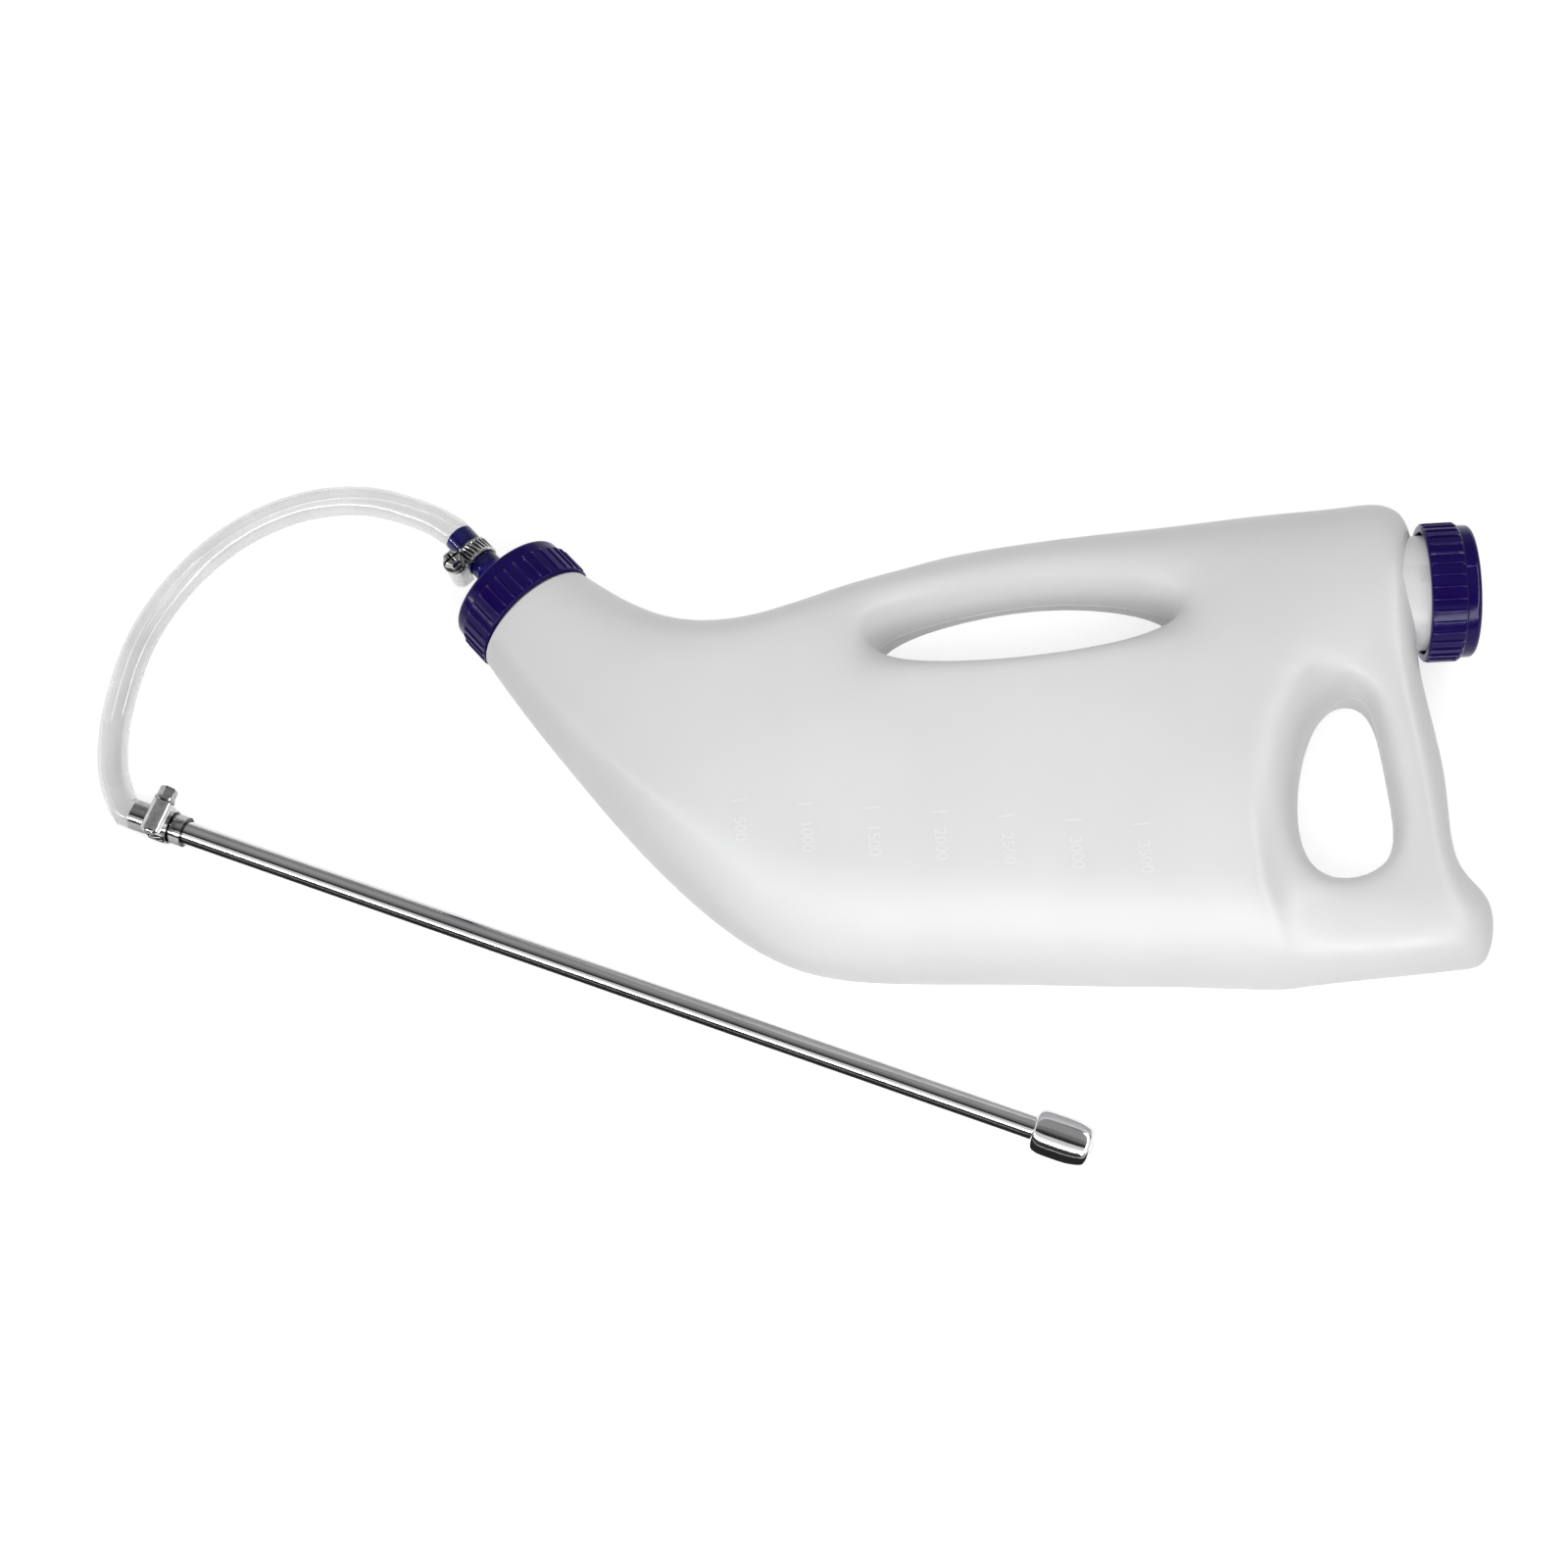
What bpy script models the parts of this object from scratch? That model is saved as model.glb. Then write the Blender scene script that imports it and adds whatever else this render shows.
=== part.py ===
"""Drenching bottle: a blow-moulded bottle with two screw caps, a clear hose and a steel drench tube.

The bottle lies on its flat side. The origin is on that side, +Z points up through the bottle's depth,
+X runs along the bottle towards the filler cap and +Y towards the top handle. All sizes are in metres.
"""

import math

import bmesh
import bpy
from mathutils import Matrix, Vector

# Bottle body
HALF_DEPTH = 0.043          # half of the thickness of the tank, so the parting plane is this high
BAR_HALF_DEPTH = 0.0195     # top handle, control height of the smooth surface
REAR_HALF_DEPTH = 0.033     # duct behind the filler neck
LOOP_HALF_DEPTH = 0.0160    # bar of the rear handle
FOOT_HALF_DEPTH = 0.0265    # foot below the rear handle
WALL = 0.0024               # blown wall
BODY_LEVELS = 2             # smoothness of the outside
CAVITY_LEVELS = 1           # smoothness of the inside
BODY_FACES_KEPT = 0.66      # share of the faces left where the surface is nearly flat

# Necks and caps, the same finish at both ends
FRONT_RIM = (-0.1917, 0.0959)    # where the front cap's skirt ends, on the parting plane
FRONT_ANGLE = 127.5              # direction of the front neck, degrees from +X
REAR_RIM = (0.2200, 0.0638)
REAR_ANGLE = -3.0
NECK_RADIUS = 0.0265
NECK_WALL = 0.0030
NECK_ROOT = 0.0160               # how far a neck is carried down into the body
NECK_CHAMFER = 0.0006
CAP_HEIGHT = 0.0226
CAP_TOP = 0.0022
CAP_SKIRT_WALL = 0.0031
CAP_SHOULDER_STEP = 0.0008
CAP_THREAD_ROOM = 0.0017         # between the neck and the inside of the skirt
CAP_RIB_LENGTH = 0.0156
CAP_RIB_COUNT = 36
CAP_RIB_WIDTH = 0.0011
CAP_RIB_PROUD = 0.0008
CAP_RIB_ROOT = 0.0012            # how deep a rib is rooted in the skirt
CAP_EDGE = 0.0005                # small chamfers and setbacks of the skirt
CAP_FILLET = 0.0026
SEAL_THICKNESS = 0.0018
SEAL_SETBACK = 0.0002            # how far the seals stay inside the neck's outer edge
SEAL_OVERHANG = 0.0010           # how far the front seal reaches into the neck's bore

# Hose nozzle
NOZZLE_FLANGE = 0.0018
NOZZLE_BASE_RADIUS = 0.0092
NOZZLE_BASE_HEIGHT = 0.0125      # from the cap's top face to the shoulder that stops the hose
NOZZLE_BARB_LENGTH = 0.0255
NOZZLE_BARB_COUNT = 3
NOZZLE_BARB_DEPTH = 0.0005
NOZZLE_WALL = 0.0013
NOZZLE_CONE = 0.0028             # taper of the base under that shoulder
CAP_HOLE_CLEARANCE = 0.0006

# Hose, steel tube and its tip
HOSE_RADIUS = 0.00740
HOSE_SIDES_LEVEL = 4             # bevel resolution of the hose, 12 sides
HOSE_LEAD = 0.0020               # straight hose past the end of the nozzle
HOSE_LEAD_OUT = 0.0040           # straight hose ahead of the steel tube
TUBE_RADIUS = 0.00575
TUBE_WALL = 0.00080
TUBE_START = (-0.3960, 0.0289)   # the end of the steel tube inside the hose
TUBE_ANGLE = -24.8
TUBE_LENGTH = 0.4700
HOSE_GRIP = 0.0284               # length of steel tube inside the hose
TIP_RADIUS = 0.0107
TIP_LENGTH = 0.0270
TIP_SOCKET = 0.0140              # depth of the tip's socket for the tube
TIP_BORE = 0.0044
TIP_LIP = 0.0007
TIP_SHAPE = [                    # swell of the tip: shares of its radius and of its length
    (0.73, 0.0), (0.88, 0.037), (0.97, 0.126), (1.0, 0.26), (1.0, 0.555),
    (0.96, 0.74), (0.86, 0.904), (0.73, 0.970), (0.58, 1.0),
]

# Worm drive clamps
BAND_THICKNESS = 0.0008
BAND_WIDTH = 0.0090
CLAMP_FROM_SHOULDER = 0.0105     # middle of the front band, from the nozzle's shoulder
CLAMP_FROM_TUBE_END = 0.0165     # middle of the tube band, from the steel tube's end
WORM_RADIUS = 0.0030
WORM_LENGTH = 0.0174
SCREW_HEAD_RADIUS = 0.0046
SCREW_HEAD_LENGTH = 0.0068
SCREW_COLLAR = 0.0005            # how far the collar under the head stands out
HOUSING_WALL = 0.0011
HOUSING_LENGTH = 0.0150
HOUSING_WIDTH = 0.0106
HOUSING_SKIRT = 0.0045           # how far the housing's cheeks reach down beside the band

# How many steps go round each turned piece
NECK_STEPS = 48
NOZZLE_STEPS = 28
SEAL_STEPS = 32
TUBE_STEPS = 24
TIP_STEPS = 24
BAND_STEPS = 28
SEAT_STEPS = 40
SCREW_STEPS = 16

# Clearance between pieces that touch on the real product
GAP = 0.0003

# Radii that follow the neck
CAP_INSIDE_RADIUS = NECK_RADIUS + CAP_THREAD_ROOM
CAP_PANEL_RADIUS = CAP_INSIDE_RADIUS + CAP_SKIRT_WALL
NOZZLE_FLANGE_RADIUS = NECK_RADIUS + GAP
SEAL_RADIUS = NECK_RADIUS - SEAL_SETBACK

# Free route of the hose between the nozzle and the steel tube
HOSE_ROUTE = [
    (-0.2440, 0.1562, 0.0421),
    (-0.2725, 0.1694, 0.0386),
    (-0.3059, 0.1742, 0.0317),
    (-0.3397, 0.1678, 0.0236),
    (-0.3700, 0.1505, 0.0158),
    (-0.3938, 0.1218, 0.0105),
    (-0.4060, 0.0862, 0.0080),
    (-0.4082, 0.0590, 0.0081),
    (-0.4043, 0.0410, 0.0096),
]
HOSE_STEPS = 2                   # points made from each stretch of the route

# Outline of the bottle on the parting plane, one point for each column of the cage
LOWER_OUTLINE = {
    4: (-0.0900, -0.0780), 5: (-0.0420, -0.0935), 6: (0.0060, -0.0988), 7: (0.0560, -0.1044),
    8: (0.0960, -0.1088), 9: (0.1280, -0.1132), 10: (0.1500, -0.1144), 11: (0.1880, -0.1142),
    12: (0.2105, -0.1136),
}
UPPER_OUTLINE = {
    4: (-0.0440, 0.0905), 5: (-0.0140, 0.0984), 6: (0.0130, 0.1036), 7: (0.0620, 0.1062),
    8: (0.1060, 0.1058), 9: (0.1420, 0.1059), 10: (0.1680, 0.1060), 11: (0.1880, 0.1062),
    12: (0.2040, 0.1062),
}
REAR_OUTLINE = [
    (0.2215, -0.1098), (0.2240, -0.0895), (0.2142, -0.0680), (0.2150, -0.0260),
    (0.2122, 0.0240), (0.2158, 0.0640), (0.2172, 0.0925), (0.2130, 0.1026),
]
SLOT_OUTLINE = {
    (4, 5): (-0.0270, 0.0515), (4, 6): (0.0130, 0.0427),
    (4, 7): (0.0620, 0.0436), (4, 8): (0.1010, 0.0538),
    (5, 8): (0.1010, 0.0665), (5, 7): (0.0620, 0.0764),
    (5, 6): (0.0130, 0.0758), (5, 5): (-0.0270, 0.0665),
}
LOOP_OUTLINE = {
    (2, 10): (0.1530, -0.0690), (2, 11): (0.1850, -0.0650), (3, 11): (0.1915, -0.0260),
    (4, 11): (0.1868, 0.0122), (4, 10): (0.1662, 0.0085), (3, 10): (0.1495, -0.0280),
}
SPOUT = [
    # lower outline, upper outline, half depth, share of the flat-sided section
    ((-0.2163, 0.0749), (-0.1658, 0.1135), 0.0316, 0.0),
    ((-0.2000, 0.0468), (-0.1448, 0.0955), 0.0345, 0.20),
    ((-0.1735, 0.0078), (-0.1190, 0.0808), 0.0395, 0.65),
    ((-0.1412, -0.0382), (-0.0840, 0.0796), 0.0425, 1.0),
]
FLAT_SHARES = (0.0, 0.17, 0.34, 0.50, 0.64, 0.77, 0.87, 1.0)
FLAT_DEPTHS = (0.42, 0.97, 1.0, 1.0, 1.0, 1.0, 0.95, 0.40)

# Inner points of the cage for each column, rows 1 to 6: x, y and height over the parting plane
TANK = HALF_DEPTH
BAR = BAR_HALF_DEPTH
REAR = REAR_HALF_DEPTH
LOOP = LOOP_HALF_DEPTH
FOOT = FOOT_HALF_DEPTH
LAYOUT = {
    4: [(-0.0810, -0.0535, TANK), (-0.0735, -0.0290, TANK), (-0.0640, 0.0010, TANK),
        (-0.0580, 0.0290, TANK), (-0.0530, 0.0610, 0.0410), (-0.0480, 0.0810, 0.0330)],
    5: [(-0.0380, -0.0680, TANK), (-0.0350, -0.0420, TANK), (-0.0370, 0.0040, TANK),
        (-0.0440, 0.0390, TANK), (-0.0380, 0.0755, 0.0310), (-0.0190, 0.0890, 0.0230)],
    6: [(0.0080, -0.0730, TANK), (0.0080, -0.0430, TANK), (0.0080, 0.0100, TANK),
        (0.0105, 0.0335, TANK), (0.0130, 0.0845, BAR), (0.0130, 0.0940, BAR)],
    7: [(0.0560, -0.0785, TANK), (0.0560, -0.0450, TANK), (0.0560, 0.0100, TANK),
        (0.0620, 0.0345, TANK), (0.0620, 0.0845, BAR), (0.0620, 0.0955, BAR)],
    8: [(0.0940, -0.0830, TANK), (0.0930, -0.0500, TANK), (0.0940, 0.0020, TANK),
        (0.1150, 0.0395, TANK), (0.1150, 0.0780, 0.0310), (0.1080, 0.0945, 0.0250)],
    9: [(0.1245, -0.0880, TANK), (0.1225, -0.0620, TANK), (0.1220, -0.0190, TANK),
        (0.1400, 0.0310, 0.0400), (0.1440, 0.0690, 0.0370), (0.1430, 0.0930, 0.0300)],
    10: [(0.1430, -0.1020, FOOT), (0.1400, -0.0830, 0.0290), (0.1370, -0.0270, 0.0390),
         (0.1600, 0.0230, 0.0330), (0.1700, 0.0630, 0.0350), (0.1690, 0.0920, 0.0290)],
    11: [(0.1870, -0.1025, FOOT), (0.1920, -0.0800, 0.0230), (0.1985, -0.0260, LOOP),
         (0.1920, 0.0220, 0.0230), (0.1910, 0.0610, REAR), (0.1900, 0.0930, 0.0280)],
    12: [(0.2130, -0.1015, FOOT), (0.2080, -0.0800, 0.0220), (0.2075, -0.0260, LOOP),
         (0.2045, 0.0240, 0.0210), (0.2060, 0.0640, REAR), (0.2055, 0.0945, 0.0270)],
}
LAST_ROW = 7
LAST_COLUMN = 13
SLOT_CELLS = {(4, 5), (4, 6), (4, 7)}
LOOP_CELLS = {(2, 10), (3, 10)}
TIGHT_LINES = [                  # points of the cage along a line, and how tightly the surface turns there
    ([(1, column) for column in range(2, 10)], 0.42),
    ([(row, 9) for row in range(0, 4)], 0.40),
    ([(4, column) for column in range(5, 9)], 0.35),
    ([(4, column) for column in range(9, 12)], 0.30),
]
EDGE_SHARE = 0.42                # height of an outline point, as a share of the depth beside it
FIT_ROUNDS = 24


def clear_scene():
    for thing in list(bpy.data.objects):
        bpy.data.objects.remove(thing, do_unlink=True)


def material(name, colour, roughness, metallic=0.0):
    made = bpy.data.materials.new(name)
    made.use_nodes = True
    shader = made.node_tree.nodes["Principled BSDF"]
    shader.inputs["Base Color"].default_value = (*colour, 1.0)
    shader.inputs["Roughness"].default_value = roughness
    shader.inputs["Metallic"].default_value = metallic
    return made


def link(name, mesh, coat=None):
    thing = bpy.data.objects.new(name, mesh)
    bpy.context.scene.collection.objects.link(thing)
    if coat:
        mesh.materials.append(coat)
    return thing


def finish_mesh(bm, name, smooth=True):
    bmesh.ops.recalc_face_normals(bm, faces=bm.faces)
    mesh = bpy.data.meshes.new(name)
    bm.to_mesh(mesh)
    bm.free()
    if smooth:
        mesh.shade_smooth()
        mesh.set_sharp_from_angle(angle=math.radians(35))
    return mesh


def turned(name, profile, steps, coat=None):
    """A solid turned about local Z from (radius, height) points; a profile off the axis is closed.

    A flat end on the axis becomes one face, which cuts cleanly.
    """
    bm = bmesh.new()
    points = [bm.verts.new((radius, 0.0, height)) for radius, height in profile]
    ring = list(zip(points, points[1:]))
    if profile[0][0] > 0.0:
        ring.append((points[-1], points[0]))
    edges = [bm.edges.new(pair) for pair in ring]
    bmesh.ops.spin(bm, geom=points + edges, cent=(0, 0, 0), axis=(0, 0, 1), angle=math.tau,
                   steps=steps, use_merge=True)
    bmesh.ops.remove_doubles(bm, verts=bm.verts, dist=1e-6)
    hubs = [point for point in bm.verts if math.hypot(point.co.x, point.co.y) < 1e-6]
    bmesh.ops.dissolve_verts(bm, verts=hubs)
    return link(name, finish_mesh(bm, name), coat)


def as_cutter(thing):
    thing.hide_render = True
    thing.display_type = "WIRE"
    return thing


def combine(target, tool, operation):
    step = target.modifiers.new(f"{operation.lower()}_{tool.name}", "BOOLEAN")
    step.operation = operation
    step.solver = "EXACT"
    step.object = as_cutter(tool)


def frame(x, y, z, angle, up=None):
    """A local frame whose Z points along a direction in the parting plane, given in degrees from +X."""
    along = Vector((math.cos(math.radians(angle)), math.sin(math.radians(angle)), 0.0))
    side = Vector(up) if up else Vector((-along.y, along.x, 0.0))
    third = along.cross(side)
    rotation = Matrix((side, third, along)).transposed().to_4x4()
    return Matrix.Translation((x, y, z)) @ rotation


def place(thing, where, shift=(0, 0, 0)):
    thing.matrix_world = where @ Matrix.Translation(shift)
    return thing


def round_shares(count):
    """Places across a round section, and its heights as shares of the radius."""
    angles = [math.pi - math.pi * (row + 0.5) / count for row in range(count)]
    return [(1 + math.cos(a)) / 2 for a in angles], [math.sin(a) for a in angles]


def cage_points():
    """Points of one side of the bottle's cage: (row, column) to (x, y, height)."""
    found = {}
    for column, places in LAYOUT.items():
        for row, spot in enumerate(places, start=1):
            found[row, column] = spot
    shares, depths = round_shares(LAST_ROW + 1)
    for column, (low, high, depth, flat) in enumerate(SPOUT):
        for row in range(LAST_ROW + 1):
            share = shares[row] * (1 - flat) + FLAT_SHARES[row] * flat
            height = depths[row] * (1 - flat) + FLAT_DEPTHS[row] * flat
            x = low[0] + (high[0] - low[0]) * share
            y = low[1] + (high[1] - low[1]) * share
            found[row, column] = (x, y, height * depth)
    for column, (x, y) in LOWER_OUTLINE.items():
        found[0, column] = (x, y, EDGE_SHARE * found[1, column][2])
    for column, (x, y) in UPPER_OUTLINE.items():
        found[LAST_ROW, column] = (x, y, EDGE_SHARE * found[LAST_ROW - 1, column][2])
    for row, (x, y) in enumerate(REAR_OUTLINE):
        inner = min(max(row, 1), LAST_ROW - 1)
        found[row, LAST_COLUMN] = (x, y, EDGE_SHARE * found[inner, LAST_COLUMN - 1][2])
    return found


def hole_points(outline, found):
    """The rim of a hole: each rim point stands beside the cage point of the same row and column."""
    return {key: (x, y, EDGE_SHARE * found[key][2]) for key, (x, y) in outline.items()}


def bottle_cage():
    """The coarse cage of the bottle with both sides, and the outline points that are fitted."""
    bm = bmesh.new()
    found = cage_points()
    holes = [hole_points(SLOT_OUTLINE, found), hole_points(LOOP_OUTLINE, found)]
    upper, lower, fitted = {}, {}, {}
    for key, (x, y, height) in found.items():
        upper[key] = bm.verts.new((x, y, height))
        lower[key] = bm.verts.new((x, y, -height))
    for row in range(LAST_ROW):
        for column in range(LAST_COLUMN):
            if (row, column) in SLOT_CELLS | LOOP_CELLS:
                continue
            corners = [(row, column), (row, column + 1), (row + 1, column + 1), (row + 1, column)]
            bm.faces.new([upper[key] for key in corners])
            bm.faces.new([lower[key] for key in reversed(corners)])
    border = [(0, column) for column in range(LAST_COLUMN + 1)]
    border += [(row, LAST_COLUMN) for row in range(1, LAST_ROW + 1)]
    border += [(LAST_ROW, column) for column in range(LAST_COLUMN - 1, -1, -1)]
    for one, two in zip(border, border[1:]):
        bm.faces.new([upper[one], lower[one], lower[two], upper[two]])
    mouth = [upper[row, 0] for row in range(LAST_ROW + 1)]
    mouth += [lower[row, 0] for row in range(LAST_ROW, -1, -1)]
    crease = bm.edges.layers.float.new("crease_edge")
    for edge in bm.faces.new(mouth).edges:
        edge[crease] = 1.0
    for line, amount in TIGHT_LINES:
        for one, two in zip(line, line[1:]):
            for side in (upper, lower):
                bm.edges.get((side[one], side[two]))[crease] = amount
    for key in border:
        if key[1] >= len(SPOUT):
            fitted[upper[key]] = fitted[lower[key]] = found[key]
    for rim in holes:
        keys = list(rim)
        high = {key: bm.verts.new(rim[key]) for key in keys}
        low = {key: bm.verts.new((rim[key][0], rim[key][1], -rim[key][2])) for key in keys}
        for one, two in zip(keys, keys[1:] + keys[:1]):
            bm.faces.new([upper[one], upper[two], high[two], high[one]])
            bm.faces.new([lower[two], lower[one], low[one], low[two]])
            bm.faces.new([high[one], high[two], low[two], low[one]])
        for key in keys:
            fitted[high[key]] = fitted[low[key]] = rim[key]
    return bm, fitted


def smooth_place(point):
    """Where the smooth surface lies at a cage point."""
    faces = point.link_faces
    count = len(faces)
    edges = sum((edge.other_vert(point).co for edge in point.link_edges), Vector())
    across = Vector()
    for face in faces:
        ring = list(face.verts)
        across += ring[(ring.index(point) + 2) % len(ring)].co
    return (point.co * count * count + edges * 4 + across) / (count * (count + 5))


def fit_outline(fitted):
    """Pushes the outline of the cage out until the smooth surface passes through the drawn outline."""
    for _ in range(FIT_ROUNDS):
        moves = {}
        for point, (x, y, _) in fitted.items():
            now = smooth_place(point)
            moves[point] = Vector((x - now.x, y - now.y, 0.0))
        for point, move in moves.items():
            point.co += move


def subdivide(thing, levels):
    step = thing.modifiers.new("smooth", "SUBSURF")
    step.levels = levels
    step.render_levels = levels
    step.boundary_smooth = "PRESERVE_CORNERS"


def neck_top():
    """Height of the front neck over the cap's rim: what is over it there fills the cap."""
    return CAP_HEIGHT - CAP_TOP - NOZZLE_FLANGE - SEAL_THICKNESS - 3 * GAP


def rear_neck_top():
    return CAP_HEIGHT - CAP_TOP - SEAL_THICKNESS - 2 * GAP


def rod(name, radius, low, high, steps):
    """A plain solid cylinder, used to cut bores and to build the necks."""
    return turned(name, [(0.0, low), (radius, low), (radius, high), (0.0, high)], steps)


def neck(name, where, height):
    tube = turned(name, [(0.0, -NECK_ROOT), (NECK_RADIUS, -NECK_ROOT), (NECK_RADIUS, height - NECK_CHAMFER),
                         (NECK_RADIUS - NECK_CHAMFER, height), (0.0, height)], NECK_STEPS)
    return place(tube, where)


def neck_bore(name, where, height):
    """The bore runs past the neck's top, and down into the hollow of the body."""
    bore = rod(name, NECK_RADIUS - NECK_WALL, -2 * NECK_ROOT, height + NECK_WALL, NECK_STEPS)
    return place(bore, where)


def make_bottle(front, rear):
    coat = material("milky_polythene", (0.83, 0.83, 0.81), 0.42)
    bm, fitted = bottle_cage()
    fit_outline(fitted)
    bmesh.ops.translate(bm, vec=(0, 0, HALF_DEPTH), verts=bm.verts)
    mesh = finish_mesh(bm, "bottle_body")
    mesh.shade_smooth()
    cavity = link("cavity", mesh.copy())
    body = link("bottle_body", mesh, coat)
    subdivide(body, BODY_LEVELS)
    subdivide(cavity, CAVITY_LEVELS)
    shrink = cavity.modifiers.new("wall", "DISPLACE")
    shrink.mid_level = 0.0
    shrink.strength = -WALL
    combine(body, neck("front_neck", front, neck_top()), "UNION")
    combine(body, neck("rear_neck", rear, rear_neck_top()), "UNION")
    combine(body, cavity, "DIFFERENCE")
    combine(body, neck_bore("front_bore", front, neck_top()), "DIFFERENCE")
    combine(body, neck_bore("rear_bore", rear, rear_neck_top()), "DIFFERENCE")
    thin = body.modifiers.new("fewer_faces", "DECIMATE")
    thin.ratio = BODY_FACES_KEPT
    return body


def cap_profile(hole_radius):
    """Half section of a cap, from the skirt's inner edge round the outside and back inside."""
    top = CAP_HEIGHT
    step = CAP_RIB_LENGTH
    shoulder = CAP_PANEL_RADIUS - CAP_SHOULDER_STEP
    inside = CAP_INSIDE_RADIUS
    inner_top = top - CAP_TOP
    rounding = [(shoulder - CAP_FILLET * (1 - math.cos(a)), top - CAP_FILLET * (1 - math.sin(a)))
                for a in (0.0, math.pi / 6, math.pi / 3, math.pi / 2)]
    outside = [(inside, 0.0), (CAP_PANEL_RADIUS - CAP_EDGE, 0.0), (CAP_PANEL_RADIUS, CAP_EDGE),
               (CAP_PANEL_RADIUS, step), (shoulder, step + CAP_SHOULDER_STEP)] + rounding
    if hole_radius > 0.0:
        return outside + [(hole_radius, top), (hole_radius, inner_top), (inside, inner_top)]
    return [(0.0, inner_top), (inside, inner_top)] + outside + [(0.0, top)]


def rib_ring(name):
    """Grip ribs of a cap, one standing on each corner of its many-sided skirt."""
    bm = bmesh.new()
    low, high = 2 * CAP_EDGE, CAP_RIB_LENGTH - CAP_EDGE
    depth = CAP_RIB_PROUD + CAP_RIB_ROOT
    for index in range(CAP_RIB_COUNT):
        made = bmesh.ops.create_cube(bm, size=1.0)["verts"]
        bmesh.ops.scale(bm, vec=(depth, CAP_RIB_WIDTH, high - low), verts=made)
        middle = CAP_PANEL_RADIUS + CAP_RIB_PROUD - depth / 2
        bmesh.ops.translate(bm, vec=(middle, 0, (low + high) / 2), verts=made)
        turn = Matrix.Rotation(math.tau * index / CAP_RIB_COUNT, 3, "Z")
        bmesh.ops.rotate(bm, cent=(0, 0, 0), matrix=turn, verts=made)
    return link(name, finish_mesh(bm, name, smooth=False))


def make_cap(name, where, hole_radius, coat):
    cap = turned(name, cap_profile(hole_radius), CAP_RIB_COUNT, coat)
    ribs = rib_ring(f"{name}_ribs")
    combine(cap, ribs, "UNION")
    place(cap, where)
    place(ribs, where)
    return cap


def nozzle_shoulder():
    """Height over the cap's rim where the hose stops on the nozzle."""
    return CAP_HEIGHT + NOZZLE_BASE_HEIGHT


def make_nozzle(where):
    coat = material("indigo_polythene_nozzle", (0.020, 0.012, 0.110), 0.35)
    under = CAP_HEIGHT - CAP_TOP - GAP - NOZZLE_FLANGE
    face = under + NOZZLE_FLANGE
    shoulder = nozzle_shoulder()
    core = TUBE_RADIUS - NOZZLE_BARB_DEPTH
    bore = core - NOZZLE_WALL
    profile = [(bore, under), (NOZZLE_FLANGE_RADIUS, under), (NOZZLE_FLANGE_RADIUS, face),
               (NOZZLE_BASE_RADIUS, face), (NOZZLE_BASE_RADIUS, shoulder - NOZZLE_CONE),
               (HOSE_RADIUS, shoulder), (core, shoulder)]
    pitch = NOZZLE_BARB_LENGTH / NOZZLE_BARB_COUNT
    for index in range(NOZZLE_BARB_COUNT):
        start = shoulder + index * pitch
        profile += [(TUBE_RADIUS, start + 0.3 * pitch), (core, start + pitch)]
    profile.append((bore, shoulder + NOZZLE_BARB_LENGTH))
    return place(turned("hose_nozzle", profile, NOZZLE_STEPS, coat), where)


def make_seals(front, rear):
    coat = material("grey_seal_rubber", (0.32, 0.32, 0.33), 0.7)
    low = neck_top() + GAP
    high = low + SEAL_THICKNESS
    inside = NECK_RADIUS - NECK_WALL - SEAL_OVERHANG
    section = [(inside, low), (SEAL_RADIUS, low), (SEAL_RADIUS, high), (inside, high)]
    place(turned("front_seal", section, SEAL_STEPS, coat), front)
    low = rear_neck_top() + GAP
    high = low + SEAL_THICKNESS
    section = [(0.0, low), (SEAL_RADIUS, low), (SEAL_RADIUS, high), (0.0, high)]
    place(turned("rear_seal", section, SEAL_STEPS, coat), rear)


def through(points, steps):
    """Points of a smooth curve through the route's points."""
    ends = [points[0] * 2 - points[1]] + points + [points[-1] * 2 - points[-2]]
    curve = []
    for a, b, c, d in zip(ends, ends[1:], ends[2:], ends[3:]):
        for step in range(steps):
            t = step / steps
            curve.append(0.5 * (2 * b + (c - a) * t + (2 * a - 5 * b + 4 * c - d) * t ** 2
                                + (3 * b - 3 * c + d - a) * t ** 3))
    return curve + [points[-1]]


def pipe(name, points, radius, level):
    data = bpy.data.curves.new(name, "CURVE")
    data.dimensions = "3D"
    data.bevel_depth = radius
    data.bevel_resolution = level
    data.use_fill_caps = True
    data.resolution_u = 1
    data.render_resolution_u = 0
    line = data.splines.new("POLY")
    line.points.add(len(points) - 1)
    for spot, place_at in zip(line.points, points):
        spot.co = (*place_at, 1.0)
    return link(name, data)


def hose_line(front, tube):
    """The whole centreline of the hose, straight on the nozzle and on the steel tube."""
    start = nozzle_shoulder() + GAP
    grip = NOZZLE_BARB_LENGTH + HOSE_LEAD
    head = [front @ Vector((0, 0, start + along)) for along in (0.0, grip / 2, grip)]
    tail = [tube @ Vector((0, 0, along)) for along in (-HOSE_LEAD_OUT, HOSE_GRIP / 2, HOSE_GRIP)]
    middle = through([head[-1]] + [Vector(p) for p in HOSE_ROUTE] + [tail[0]], HOSE_STEPS)
    return head[:-1] + middle + tail[1:]


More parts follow.
